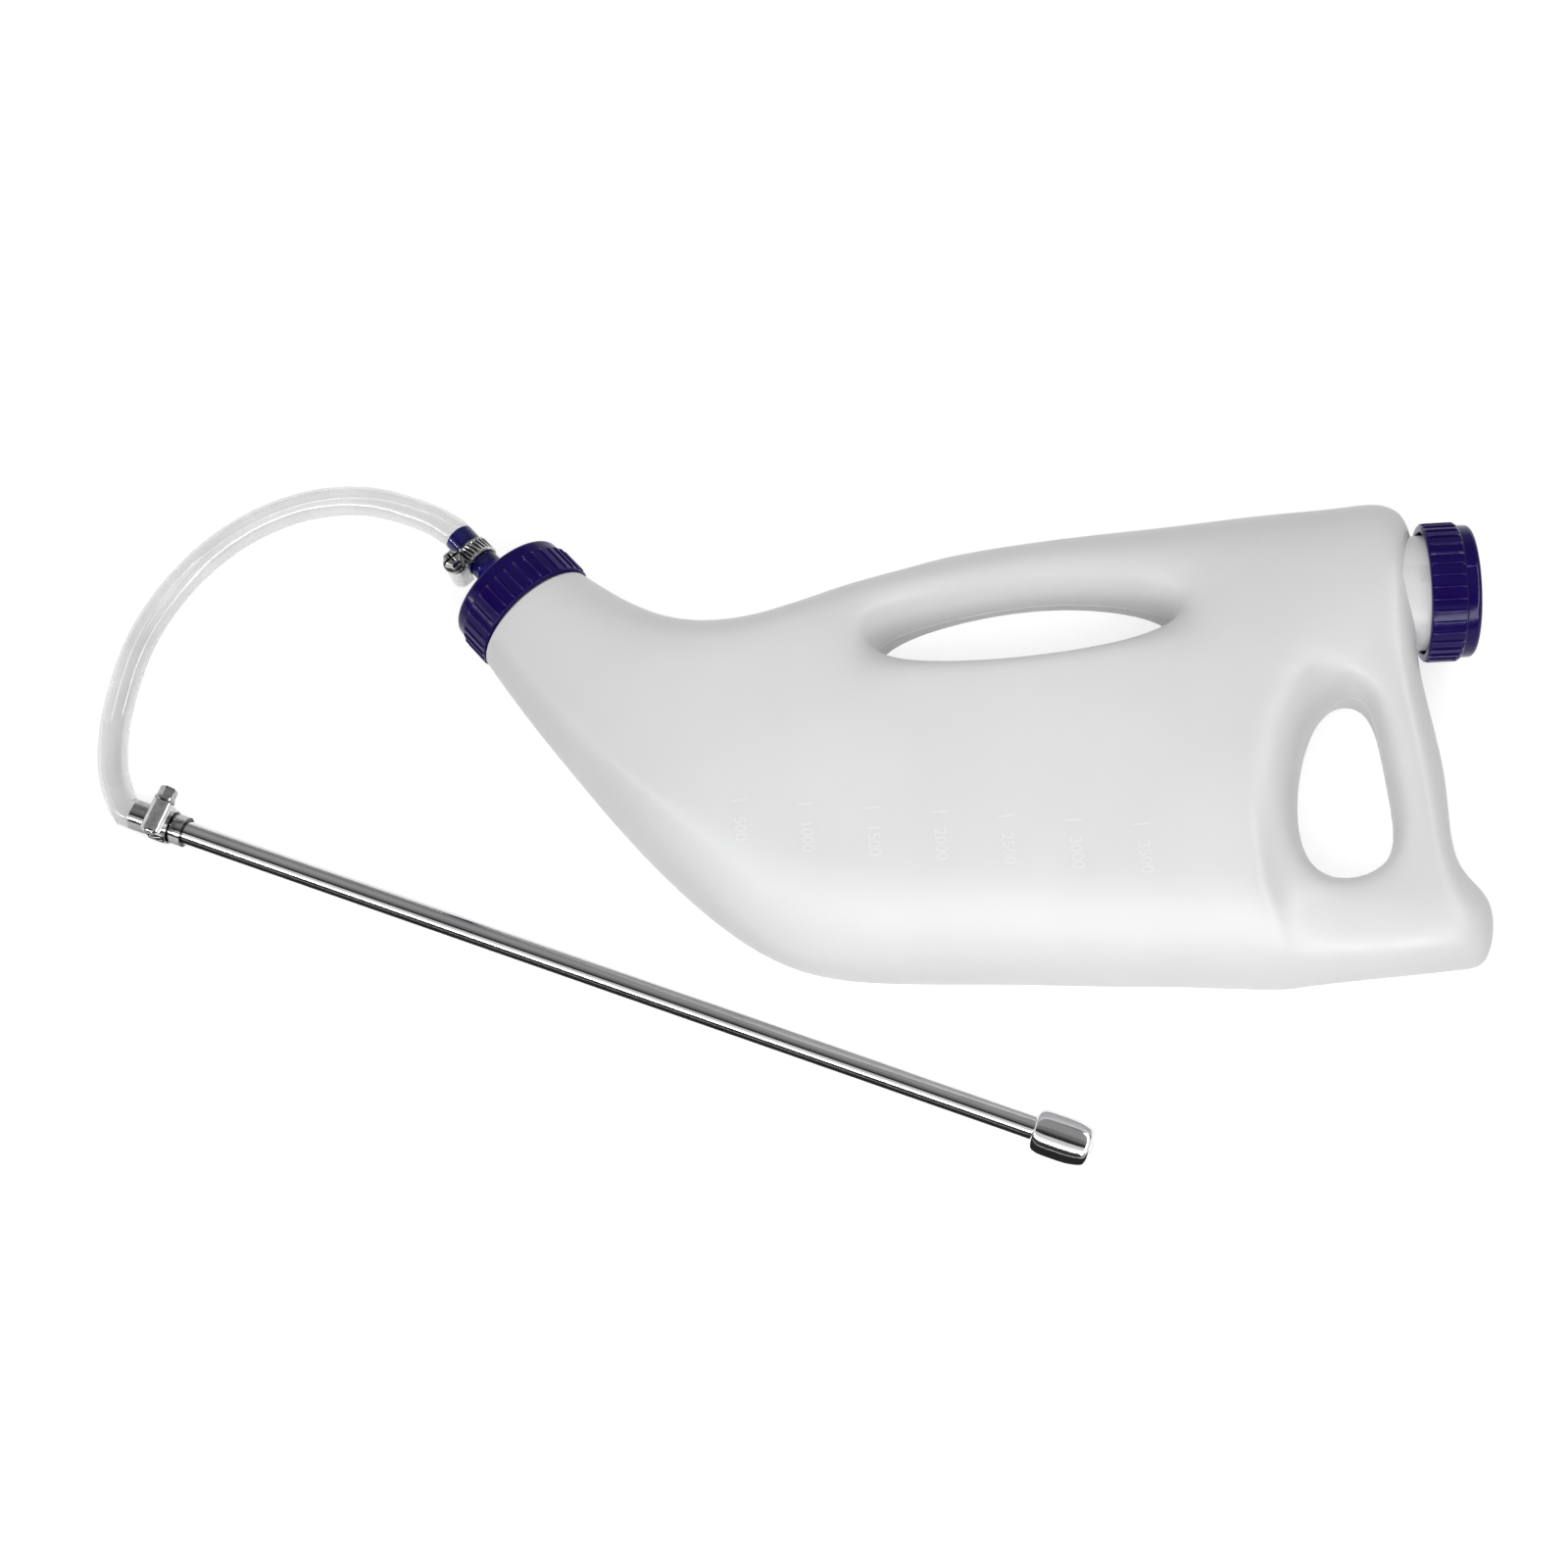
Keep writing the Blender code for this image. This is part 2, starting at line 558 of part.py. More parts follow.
def make_hose(front, tube):
    coat = material("clear_hose", (0.80, 0.82, 0.82), 0.12)
    line = hose_line(front, tube)
    sides = 4 + 2 * HOSE_SIDES_LEVEL
    outer = pipe("hose_outside", line, HOSE_RADIUS, HOSE_SIDES_LEVEL)
    longer = list(line)
    longer[0] = line[0] + (line[0] - line[1]).normalized() * HOSE_RADIUS
    longer[-1] = line[-1] + (line[-1] - line[-2]).normalized() * HOSE_RADIUS
    bore_radius = (TUBE_RADIUS + GAP) / math.cos(math.pi / sides)
    bore = pipe("hose_bore_line", longer, bore_radius, HOSE_SIDES_LEVEL)
    bpy.context.view_layer.update()
    hose = link("hose", bpy.data.meshes.new_from_object(outer), coat)
    cut = link("hose_bore", bpy.data.meshes.new_from_object(bore))
    for guide in (outer, bore):
        bpy.data.objects.remove(guide, do_unlink=True)
    combine(hose, cut, "DIFFERENCE")
    return hose


def make_tube(where):
    steel = material("polished_stainless", (0.62, 0.62, 0.63), 0.12, 1.0)
    inside = TUBE_RADIUS - TUBE_WALL
    section = [(inside, 0.0), (TUBE_RADIUS, 0.0), (TUBE_RADIUS, TUBE_LENGTH), (inside, TUBE_LENGTH)]
    return place(turned("drench_tube", section, TUBE_STEPS, steel), where)


def make_tip(where):
    steel = material("polished_stainless_tip", (0.60, 0.60, 0.61), 0.14, 1.0)
    back = TUBE_LENGTH + GAP - TIP_SOCKET
    nose = back + TIP_LENGTH
    socket = TUBE_RADIUS + GAP
    swell = [(share * TIP_RADIUS, back + along * TIP_LENGTH) for share, along in TIP_SHAPE]
    profile = [(socket, back)] + swell + [(TIP_BORE + TIP_LIP, nose), (TIP_BORE, nose - TIP_LIP)]
    profile += [(TIP_BORE, back + TIP_SOCKET), (socket, back + TIP_SOCKET)]
    return place(turned("drench_tip", profile, TIP_STEPS, steel), where)


def worm_offset():
    """Distance of the worm's axis from the middle of its band."""
    return HOSE_RADIUS + GAP + BAND_THICKNESS + GAP + WORM_RADIUS


def make_band(name, where, coat):
    low = HOSE_RADIUS + GAP
    high = low + BAND_THICKNESS
    half = BAND_WIDTH / 2
    section = [(low, -half), (high, -half), (high, half), (low, half)]
    return place(turned(name, section, BAND_STEPS, coat), where)


def make_housing(name, where, coat):
    """The pressed housing over the band, open along the worm's axis."""
    reach = worm_offset()
    outer = WORM_RADIUS + GAP + HOUSING_WALL
    half_width = HOUSING_WIDTH / 2
    bm = bmesh.new()
    outline = [(reach - HOUSING_SKIRT, -half_width), (reach, -half_width)]
    for index in range(1, 8):
        angle = -math.pi / 2 + math.pi * index / 8
        outline.append((reach + outer * math.cos(angle), half_width * math.sin(angle)))
    outline += [(reach, half_width), (reach - HOUSING_SKIRT, half_width)]
    bottom = [bm.verts.new((x, -HOUSING_LENGTH / 2, z)) for x, z in outline]
    face = bm.faces.new(bottom)
    grown = bmesh.ops.extrude_face_region(bm, geom=[face])["geom"]
    moved = [item for item in grown if isinstance(item, bmesh.types.BMVert)]
    bmesh.ops.translate(bm, vec=(0, HOUSING_LENGTH, 0), verts=moved)
    housing = place(link(name, finish_mesh(bm, name), coat), where)
    band_room = HOSE_RADIUS + GAP + BAND_THICKNESS + GAP
    under = rod(f"{name}_seat", band_room, -HOUSING_WIDTH, HOUSING_WIDTH, SEAT_STEPS)
    place(under, where)
    channel = rod(f"{name}_channel", WORM_RADIUS + GAP, -HOUSING_LENGTH, HOUSING_LENGTH, SCREW_STEPS)
    channel.matrix_world = worm_frame(where)
    combine(housing, under, "DIFFERENCE")
    combine(housing, channel, "DIFFERENCE")
    return housing


def worm_frame(where):
    """Frame of a clamp's screw: its Z points along the worm to the head."""
    return where @ Matrix.Translation((worm_offset(), 0, 0)) @ Matrix.Rotation(-math.pi / 2, 4, "X")


def make_screw(name, where, coat):
    half = WORM_LENGTH / 2
    head = half + SCREW_HEAD_LENGTH
    collar = SCREW_HEAD_RADIUS + SCREW_COLLAR
    under = half + 2 * SCREW_COLLAR
    profile = [(0.0, -half), (WORM_RADIUS - SCREW_COLLAR, -half), (WORM_RADIUS, -half + SCREW_COLLAR),
               (WORM_RADIUS, half), (collar, half), (collar, under), (SCREW_HEAD_RADIUS, under),
               (SCREW_HEAD_RADIUS, head - SCREW_COLLAR), (WORM_RADIUS, head), (0.0, head)]
    screw = turned(name, profile, SCREW_STEPS, coat)
    screw.matrix_world = worm_frame(where)
    return screw


def make_clamp(prefix, where):
    steel = material(f"{prefix}_band_steel", (0.55, 0.55, 0.56), 0.28, 1.0)
    zinc = material(f"{prefix}_housing_steel", (0.45, 0.45, 0.46), 0.32, 1.0)
    dark = material(f"{prefix}_screw_steel", (0.35, 0.35, 0.36), 0.30, 1.0)
    make_band(f"{prefix}_clamp_band", where, steel)
    make_housing(f"{prefix}_clamp_housing", where, zinc)
    make_screw(f"{prefix}_clamp_screw", where, dark)


def main():
    clear_scene()
    indigo = material("indigo_polythene_caps", (0.018, 0.010, 0.095), 0.32)
    front = frame(*FRONT_RIM, HALF_DEPTH, FRONT_ANGLE)
    rear = frame(*REAR_RIM, HALF_DEPTH, REAR_ANGLE)
    tube = frame(*TUBE_START, TIP_RADIUS, TUBE_ANGLE)
    make_bottle(front, rear)
    make_cap("front_cap", front, NOZZLE_BASE_RADIUS + CAP_HOLE_CLEARANCE, indigo)
    make_cap("rear_cap", rear, 0.0, indigo)
    make_nozzle(front)
    make_seals(front, rear)
    make_hose(front, tube)
    make_clamp("front", front @ Matrix.Translation((0, 0, nozzle_shoulder() + CLAMP_FROM_SHOULDER)))
    clamp_spot = tube @ Vector((0, 0, CLAMP_FROM_TUBE_END))
    make_clamp("tube", frame(*clamp_spot, TUBE_ANGLE + 180.0, up=(0, 0, 1)))
    make_tube(tube)
    make_tip(tube)


main()
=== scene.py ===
import math

import bmesh
import bpy
from mathutils import Matrix, Vector
from mathutils.bvhtree import BVHTree


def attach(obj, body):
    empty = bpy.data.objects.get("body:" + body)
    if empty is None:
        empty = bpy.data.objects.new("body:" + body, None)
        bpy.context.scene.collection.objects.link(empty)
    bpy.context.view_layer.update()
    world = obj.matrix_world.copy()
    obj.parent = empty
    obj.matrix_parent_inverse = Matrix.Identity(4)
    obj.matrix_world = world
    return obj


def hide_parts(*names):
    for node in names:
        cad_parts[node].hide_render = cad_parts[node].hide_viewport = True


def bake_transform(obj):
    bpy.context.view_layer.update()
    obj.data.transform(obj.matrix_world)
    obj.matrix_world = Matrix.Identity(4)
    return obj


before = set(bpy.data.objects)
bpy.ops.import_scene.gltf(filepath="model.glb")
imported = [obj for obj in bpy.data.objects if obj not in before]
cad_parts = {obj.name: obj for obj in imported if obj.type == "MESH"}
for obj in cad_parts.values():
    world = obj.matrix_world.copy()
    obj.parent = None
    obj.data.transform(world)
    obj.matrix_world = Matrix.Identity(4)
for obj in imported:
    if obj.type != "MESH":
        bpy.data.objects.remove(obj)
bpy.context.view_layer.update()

# Bottle body
HALF_DEPTH = 0.043  # half of the thickness of the tank, so the parting plane is this high
BAR = 0.0195  # top handle, control height of the smooth surface
DUCT = 0.033  # duct behind the filler neck
LOOP = 0.0160  # bar of the rear handle
FOOT = 0.0265  # foot below the rear handle
WALL = 0.0024  # blown wall
BODY_LEVELS = 3  # smoothness of the outside
CAVITY_LEVELS = 2  # smoothness of the inside

# Necks and caps, the same finish at both ends
FRONT_RIM = (-0.1917, 0.0959)  # where the front cap's skirt ends, on the parting plane
FRONT_ANGLE = 127.5  # direction of the front neck, degrees from +X
REAR_RIM = (0.2200, 0.0638)
REAR_ANGLE = -3.0
NECK_RADIUS = 0.0265
NECK_WALL = 0.0030
NECK_ROOT = 0.0160  # how far a neck is carried down into the body
NECK_CHAMFER = 0.0006
THREAD_TURNS = 1.6
THREAD_PITCH = 0.0040
THREAD_RADIUS = 0.0010  # half of the round thread's thickness
THREAD_SINK = 0.0001  # how far the thread's middle lies inside the neck's face
THREAD_DROP = 0.0032  # from the neck's rim down to the thread
THREAD_FADE = 0.08  # share of the thread that fades out at each end
THREAD_TAIL = 0.15  # share of its size that is left at the very end
THREAD_SIDES = 10
CAP_HEIGHT = 0.0226
CAP_TOP = 0.0022
CAP_SKIRT_WALL = 0.0031
CAP_SHOULDER_STEP = 0.0008
CAP_THREAD_ROOM = 0.0017  # between the neck and the inside of the skirt
CAP_RIB_LENGTH = 0.0156
CAP_RIB_COUNT = 36
CAP_RIB_WIDTH = 0.0011
CAP_RIB_PROUD = 0.0008
CAP_EDGE = 0.0005  # small chamfers and setbacks of the skirt
CAP_FILLET = 0.0026
CAP_FILLET_STEPS = 7
CAP_LIP = 0.0004  # lead-in inside the skirt, and the dish of the closed cap
CAP_HOLE_EDGE = 0.0005
CAP_EDGE_ARC = (0.5, 1.0, 1.4)  # angles along the skirt's rounded lower edge
CAP_SHOULDER_SHARES = (0.35, 0.7, 1.0)  # where the slope over the ribs has rings
CAP_SKIRT_LEVELS = 12  # stretches between the rings up the ribs
CAP_RIM_SHARES = (0.84, 0.82)  # shares of the radius where the closed cap's rim ends
CAP_DISH_SHARES = (0.80, 0.5, 0.2)
CAP_RIB_FLANK = 0.3  # share of a rib's width that each of its flanks takes
CAP_RIB_START = 0.6  # where a rib starts, as a share of the skirt's lower edge
SEAL_THICKNESS = 0.0018

# Hose nozzle
NOZZLE_FLANGE = 0.0018
NOZZLE_BASE_RADIUS = 0.0092
NOZZLE_BASE_HEIGHT = 0.0125  # from the cap's top face to the shoulder that stops the hose
NOZZLE_BARB_LENGTH = 0.0255
NOZZLE_BARB_COUNT = 3
NOZZLE_BARB_DEPTH = 0.0005
NOZZLE_WALL = 0.0013
NOZZLE_CONE = 0.0028  # taper of the base under that shoulder
NOZZLE_ROUND = 0.0008  # fillet between the flange and the base
NOZZLE_EDGE = 0.0004
NOZZLE_NOSE_LENGTH = 0.0002
NOZZLE_NOSE_LIP = 0.0003
BARB_SHAPE = [  # one ring of the barb: depth under its top, and share of its pitch
    (NOZZLE_BARB_DEPTH, 0.12), (0.0001, 0.22), (0.0, 0.3), (0.0001, 0.38),
    (NOZZLE_BARB_DEPTH - 0.0001, 0.95),
]
CAP_HOLE_CLEARANCE = 0.0006

# Hose, steel tube and its tip
HOSE_RADIUS = 0.00740
HOSE_LEAD = 0.0020  # straight hose past the end of the nozzle
HOSE_LEAD_OUT = 0.0040  # straight hose ahead of the steel tube
TUBE_RADIUS = 0.00575
TUBE_WALL = 0.00080
TUBE_EDGE = 0.0002
TUBE_START = (-0.3960, 0.0289)  # the end of the steel tube inside the hose
TUBE_ANGLE = -24.8
TUBE_LENGTH = 0.4700
HOSE_GRIP = 0.0284  # length of steel tube inside the hose
HOSE_GRIP_SHARES = (0.3, 0.6)  # where the hose has rings along that length
HOSE_GRIP_END = 0.001  # from the last ring but one to the hose's end
TIP_RADIUS = 0.0107
TIP_LENGTH = 0.0270
TIP_SOCKET = 0.0140  # depth of the tip's socket for the tube
TIP_BORE = 0.0044
TIP_LIP = 0.0007
TIP_LIP_SHARE = 0.3  # share of the lip where its slope changes
TIP_SWELL_STEPS = 5
TIP_SHAPE = [  # swell of the tip: shares of its radius and of its length
    (0.73, 0.0), (0.88, 0.037), (0.97, 0.126), (1.0, 0.26), (1.0, 0.555),
    (0.96, 0.74), (0.86, 0.904), (0.73, 0.970), (0.58, 1.0),
]

# Worm drive clamps
BAND_THICKNESS = 0.0008
BAND_WIDTH = 0.0090
CLAMP_FROM_SHOULDER = 0.0105  # middle of the front band, from the nozzle's shoulder
CLAMP_FROM_TUBE_END = 0.0165  # middle of the tube band, from the steel tube's end
WORM_RADIUS = 0.0030
WORM_LENGTH = 0.0174
SCREW_HEAD_RADIUS = 0.0046
SCREW_HEAD_LENGTH = 0.0068
SCREW_COLLAR = 0.0005  # how far the collar under the head stands out
HOUSING_WALL = 0.0011
HOUSING_LENGTH = 0.0150
HOUSING_WIDTH = 0.0106
HOUSING_SKIRT = 0.0045  # how far the housing's cheeks reach down beside the band
HOUSING_STEPS = 16
HOUSING_ROUND = 0.00025
BAND_EDGE = 0.00015
SCREW_ROUND = 0.0003
SCREW_OVERLAP = 0.0002  # how far the screw's parts run into each other
SCREW_HEAD_SHAPE = [  # shares of the head's radius, and depths under its face
    (1.0, 0.0012), (0.9, 0.0005), (0.66, 0.0),
]
SCREW_RECESS = [  # bars that cut the slot and the cross; half of their height is in the head
    ("slot", (2.4 * SCREW_HEAD_RADIUS, 0.0012, 0.0030)),
    ("cross", (0.0012, 1.15 * SCREW_HEAD_RADIUS, 0.0044)),
]

# Clearance between pieces that touch on the real product
GAP = 0.0003
SAME_PLACE = 1e-6  # lengths that differ by less count as the same

# Measures that follow from others
NOZZLE_SHOULDER = CAP_HEIGHT + NOZZLE_BASE_HEIGHT  # where the hose stops, from the cap's rim
# Heights of the necks, from the caps' rims
REAR_NECK_TOP = CAP_HEIGHT - CAP_TOP - SEAL_THICKNESS - 2 * GAP
FRONT_NECK_TOP = CAP_HEIGHT - CAP_TOP - NOZZLE_FLANGE - SEAL_THICKNESS - 3 * GAP
BAND_ROOM = HOSE_RADIUS + GAP + BAND_THICKNESS + GAP
WORM_OFFSET = BAND_ROOM + WORM_RADIUS  # from the middle of a band to its worm's axis
CAP_INSIDE_RADIUS = NECK_RADIUS + CAP_THREAD_ROOM
CAP_PANEL_RADIUS = CAP_INSIDE_RADIUS + CAP_SKIRT_WALL
NOZZLE_FLANGE_RADIUS = NECK_RADIUS + GAP

# Free route of the hose between the nozzle and the steel tube
HOSE_ROUTE = [
    (-0.2440, 0.1562, 0.0421),
    (-0.2725, 0.1694, 0.0386),
    (-0.3059, 0.1742, 0.0317),
    (-0.3397, 0.1678, 0.0236),
    (-0.3700, 0.1505, 0.0158),
    (-0.3938, 0.1218, 0.0105),
    (-0.4060, 0.0862, 0.0080),
    (-0.4082, 0.0590, 0.0081),
    (-0.4043, 0.0410, 0.0096),
]

# Outline of the bottle on the parting plane, one point for each column of the cage
LOWER_OUTLINE = {
    4: (-0.0900, -0.0780), 5: (-0.0420, -0.0935), 6: (0.0060, -0.0988), 7: (0.0560, -0.1044),
    8: (0.0960, -0.1088), 9: (0.1280, -0.1132), 10: (0.1500, -0.1144), 11: (0.1880, -0.1142),
    12: (0.2105, -0.1136),
}
UPPER_OUTLINE = {
    4: (-0.0440, 0.0905), 5: (-0.0140, 0.0984), 6: (0.0130, 0.1036), 7: (0.0620, 0.1062),
    8: (0.1060, 0.1058), 9: (0.1420, 0.1059), 10: (0.1680, 0.1060), 11: (0.1880, 0.1062),
    12: (0.2040, 0.1062),
}
REAR_OUTLINE = [
    (0.2215, -0.1098), (0.2240, -0.0895), (0.2142, -0.0680), (0.2150, -0.0260),
    (0.2122, 0.0240), (0.2158, 0.0640), (0.2172, 0.0925), (0.2130, 0.1026),
]
SLOT_OUTLINE = {
    (4, 5): (-0.0270, 0.0515), (4, 6): (0.0130, 0.0427),
    (4, 7): (0.0620, 0.0436), (4, 8): (0.1010, 0.0538),
    (5, 8): (0.1010, 0.0665), (5, 7): (0.0620, 0.0764),
    (5, 6): (0.0130, 0.0758), (5, 5): (-0.0270, 0.0665),
}
LOOP_OUTLINE = {
    (2, 10): (0.1530, -0.0690), (2, 11): (0.1850, -0.0650), (3, 11): (0.1915, -0.0260),
    (4, 11): (0.1868, 0.0122), (4, 10): (0.1662, 0.0085), (3, 10): (0.1495, -0.0280),
}
SPOUT = [
    # lower outline, upper outline, half depth, share of the flat-sided section
    ((-0.2163, 0.0749), (-0.1658, 0.1135), 0.0316, 0.0),
    ((-0.2000, 0.0468), (-0.1448, 0.0955), 0.0345, 0.20),
    ((-0.1735, 0.0078), (-0.1190, 0.0808), 0.0395, 0.65),
    ((-0.1412, -0.0382), (-0.0840, 0.0796), 0.0425, 1.0),
]
FLAT_SHARES = (0.0, 0.17, 0.34, 0.50, 0.64, 0.77, 0.87, 1.0)
FLAT_DEPTHS = (0.42, 0.97, 1.0, 1.0, 1.0, 1.0, 0.95, 0.40)

# Inner points of the cage for each column, rows 1 to 6: x, y and height over the parting plane
TANK = HALF_DEPTH
LAYOUT = {
    4: [(-0.0810, -0.0535, TANK), (-0.0735, -0.0290, TANK), (-0.0640, 0.0010, TANK),
        (-0.0580, 0.0290, TANK), (-0.0530, 0.0610, 0.0410), (-0.0480, 0.0810, 0.0330)],
    5: [(-0.0380, -0.0680, TANK), (-0.0350, -0.0420, TANK), (-0.0370, 0.0040, TANK),
        (-0.0440, 0.0390, TANK), (-0.0380, 0.0755, 0.0310), (-0.0190, 0.0890, 0.0230)],
    6: [(0.0080, -0.0730, TANK), (0.0080, -0.0430, TANK), (0.0080, 0.0100, TANK),
        (0.0105, 0.0335, TANK), (0.0130, 0.0845, BAR), (0.0130, 0.0940, BAR)],
    7: [(0.0560, -0.0785, TANK), (0.0560, -0.0450, TANK), (0.0560, 0.0100, TANK),
        (0.0620, 0.0345, TANK), (0.0620, 0.0845, BAR), (0.0620, 0.0955, BAR)],
    8: [(0.0940, -0.0830, TANK), (0.0930, -0.0500, TANK), (0.0940, 0.0020, TANK),
        (0.1150, 0.0395, TANK), (0.1150, 0.0780, 0.0310), (0.1080, 0.0945, 0.0250)],
    9: [(0.1245, -0.0880, TANK), (0.1225, -0.0620, TANK), (0.1220, -0.0190, TANK),
        (0.1400, 0.0310, 0.0400), (0.1440, 0.0690, 0.0370), (0.1430, 0.0930, 0.0300)],
    10: [(0.1430, -0.1020, FOOT), (0.1400, -0.0830, 0.0290), (0.1370, -0.0270, 0.0390),
         (0.1600, 0.0230, 0.0330), (0.1700, 0.0630, 0.0350), (0.1690, 0.0920, 0.0290)],
    11: [(0.1870, -0.1025, FOOT), (0.1920, -0.0800, 0.0230), (0.1985, -0.0260, LOOP),
         (0.1920, 0.0220, 0.0230), (0.1910, 0.0610, DUCT), (0.1900, 0.0930, 0.0280)],
    12: [(0.2130, -0.1015, FOOT), (0.2080, -0.0800, 0.0220), (0.2075, -0.0260, LOOP),
         (0.2045, 0.0240, 0.0210), (0.2100, 0.0640, 0.0335), (0.2090, 0.0945, 0.0275)],
}
LAST_ROW = 7
LAST_COLUMN = 13
SLOT_CELLS = {(4, 5), (4, 6), (4, 7)}
LOOP_CELLS = {(2, 10), (3, 10)}
TIGHT_LINES = [  # points of the cage along a line, and how tightly the surface turns there
    ([(1, column) for column in range(2, 10)], 0.42),
    ([(row, 9) for row in range(0, 4)], 0.40),
    ([(4, column) for column in range(5, 9)], 0.35),
    ([(4, column) for column in range(9, 12)], 0.30),
]
EDGE_SHARE = 0.42  # height of an outline point, as a share of the depth beside it
FIT_ROUNDS = 24

# Camera, measured from the photograph
CAMERA_AZIMUTH = 9.0
CAMERA_ELEVATION = 69.0
CAMERA_ROLL = -13.9
CAMERA_DISTANCE = 1.17  # from the point in the middle of its view
CAMERA_TARGET = (-0.08, 0.0, 0.0435)
CAMERA_LENS = 58.5
CAMERA_SENSOR = 36.0
CAMERA_CLIP = (0.05, 20.0)

# Fine steps of the visible pieces
HOSE_SIDES = 32
HOSE_FINE_STEPS = 7
HOSE_FREE_SLIM = 0.035  # share by which the hose is slimmer between its ends
HOSE_SLIM_RINGS = 6  # rings over which it gets slimmer
HOSE_SQUEEZE = 0.00005  # how far the stretched hose bites on the barb and the steel tube
LATHE_STEPS = 96
RIB_STEPS = 14  # steps round the cap for each rib
BAND_SLOTS = 26
SLOT_LENGTH = 0.0058
SLOT_WIDTH = 0.0010
SLOT_DEPTH = 0.0005
SLOT_SLANT = math.radians(14)
WORM_PITCH = 0.0016
WORM_DEPTH = 0.0005
WORM_RUN_OUT = 0.0008  # length over which the thread ends
WORM_STEPS = 48
WORM_LEVELS = 90
SEAM_RADIUS = 0.00022
SEAM_SIDES = 6
SEAM_SHORTEST = 8  # a stretch of the seam with no more points than this is left out
BODY_SHRINK = 0.0035  # share by which the visible body is thinner, which leaves room for its marks
MARK_COUNT = 7  # raised scale on the flat side
MARK_VOLUME = 500  # what each number adds
MARK_START = (-0.0980, -0.0215)
MARK_STEP = (0.0290, -0.0048)
MARK_SIZE = 0.0075
MARK_RAISE = 0.00012
MARK_LINE_LENGTH = 0.0070
MARK_LINE_WIDTH = 0.0008

# Looks
RIDGE_RANGE = (0.53, 0.60)  # how pointed a cap's ridge is where its painted highlight starts and is full
GRAIN_RANGE = (0.3, 0.7)  # the part of a noise over which a colour or gloss changes
HOSE_TINT = 240.0  # how strongly the hose's plastic dims light

# Studio
WHITE = (1.0, 1.0, 1.0, 1.0)
CARD_RADIUS = 1.0
CARD_REACH = 2.0
CARD_STEPS = 12
CARDS = [  # studio cards round the steel tube: from and to in degrees, brightness
    (90, 140, 0.50), (66, 90, 0.26), (28, 66, 0.38), (12, 28, 0.24), (4, 12, 0.12), (-10, 4, 0.03),
    (-26, -10, 0.85), (-38, -26, 1.3), (-44, -38, 20.0), (-49, -44, 1.3), (-112, -49, 0.04),
]
FLOOR_CARD_GREY = 0.03
FLOOR_CARD_SIDES = (0.013, 0.30)  # near and far edge, from the tube's axis
FLOOR_CARD_SPARE = 0.1  # how far it reaches past both ends of the tube
FLOOR_CARD_LIFT = 0.0002
FLOOR_SIZE = 3.0
FLOOR_DROP = 0.0005
FLOOR_GREY = 0.86
FLOOR_GLOW = 0.55
HOSE_CARD_SPOT = (-0.38, 0.12, 0.02)  # where the hose reflects its own card
HOSE_CARD_LINE = [  # shares of right, up and back to the camera along the card
    (0.50, -0.72, 0.52), (0.68, -0.54, 0.51), (0.84, -0.22, 0.50), (0.88, 0.10, 0.44), (0.86, 0.34, 0.38),
]
HOSE_CARD_WIDTH = 0.13
HOSE_CARD_LEVEL = 12.0
LIGHT_MIDDLE = (-0.02, 0.0, 0.05)
LAMPS = [  # name, place from that middle, size and power
    ("key", (0.02, -0.32, 0.50), 0.4, 1.85), ("fill", (-0.35, 0.90, 1.10), 1.2, 1.0),
]
WORLD_LEVEL = 0.53


def link(name, data, coat=None):
    """A new object in the scene."""
    thing = bpy.data.objects.new(name, data)
    bpy.context.scene.collection.objects.link(thing)
    if coat:
        data.materials.append(coat)
    return thing


def finish_mesh(bm, name, sharp=35):
    """A mesh that is smooth but for edges that turn by more than an angle in degrees."""
    bmesh.ops.recalc_face_normals(bm, faces=bm.faces)
    mesh = bpy.data.meshes.new(name)
    bm.to_mesh(mesh)
    bm.free()
    mesh.shade_smooth()
    mesh.set_sharp_from_angle(angle=math.radians(sharp))
    return mesh


def solid(name, bm, coat=None, sharp=35, where=None):
    """Turns a drawn shape into an object, moved to its place."""
    if where:
        bmesh.ops.transform(bm, matrix=where, verts=bm.verts)
    return link(name, finish_mesh(bm, name, sharp), coat)


def local_frame(x, y, z, angle, up=None):
    """A local frame whose Z points along a direction in the parting plane, given in degrees from +X."""
    along = Vector((math.cos(math.radians(angle)), math.sin(math.radians(angle)), 0.0))
    side = Vector(up) if up else Vector((-along.y, along.x, 0.0))
    third = along.cross(side)
    rotation = Matrix((side, third, along)).transposed().to_4x4()
    return Matrix.Translation((x, y, z)) @ rotation


FRONT = local_frame(*FRONT_RIM, HALF_DEPTH, FRONT_ANGLE)
REAR = local_frame(*REAR_RIM, HALF_DEPTH, REAR_ANGLE)
TUBE = local_frame(*TUBE_START, TIP_RADIUS, TUBE_ANGLE)
TUBE_WAY = (TUBE.to_3x3() @ Vector((0, 0, 1))).normalized()


def make_camera():
    """Places the camera and returns its directions up and back."""
    turn = (Matrix.Rotation(math.radians(CAMERA_AZIMUTH), 4, "Z")
            @ Matrix.Rotation(math.radians(90.0 - CAMERA_ELEVATION), 4, "X")
            @ Matrix.Rotation(math.radians(CAMERA_ROLL), 4, "Z"))
    data = bpy.data.cameras.new("camera")
    data.lens = CAMERA_LENS
    data.sensor_width = CAMERA_SENSOR
    data.clip_start, data.clip_end = CAMERA_CLIP
    camera = link("camera", data)
    camera.matrix_world = (Matrix.Translation(CAMERA_TARGET) @ turn
                           @ Matrix.Translation((0, 0, CAMERA_DISTANCE)))
    bpy.context.scene.camera = camera
    return turn.col[1].xyz, turn.col[2].xyz


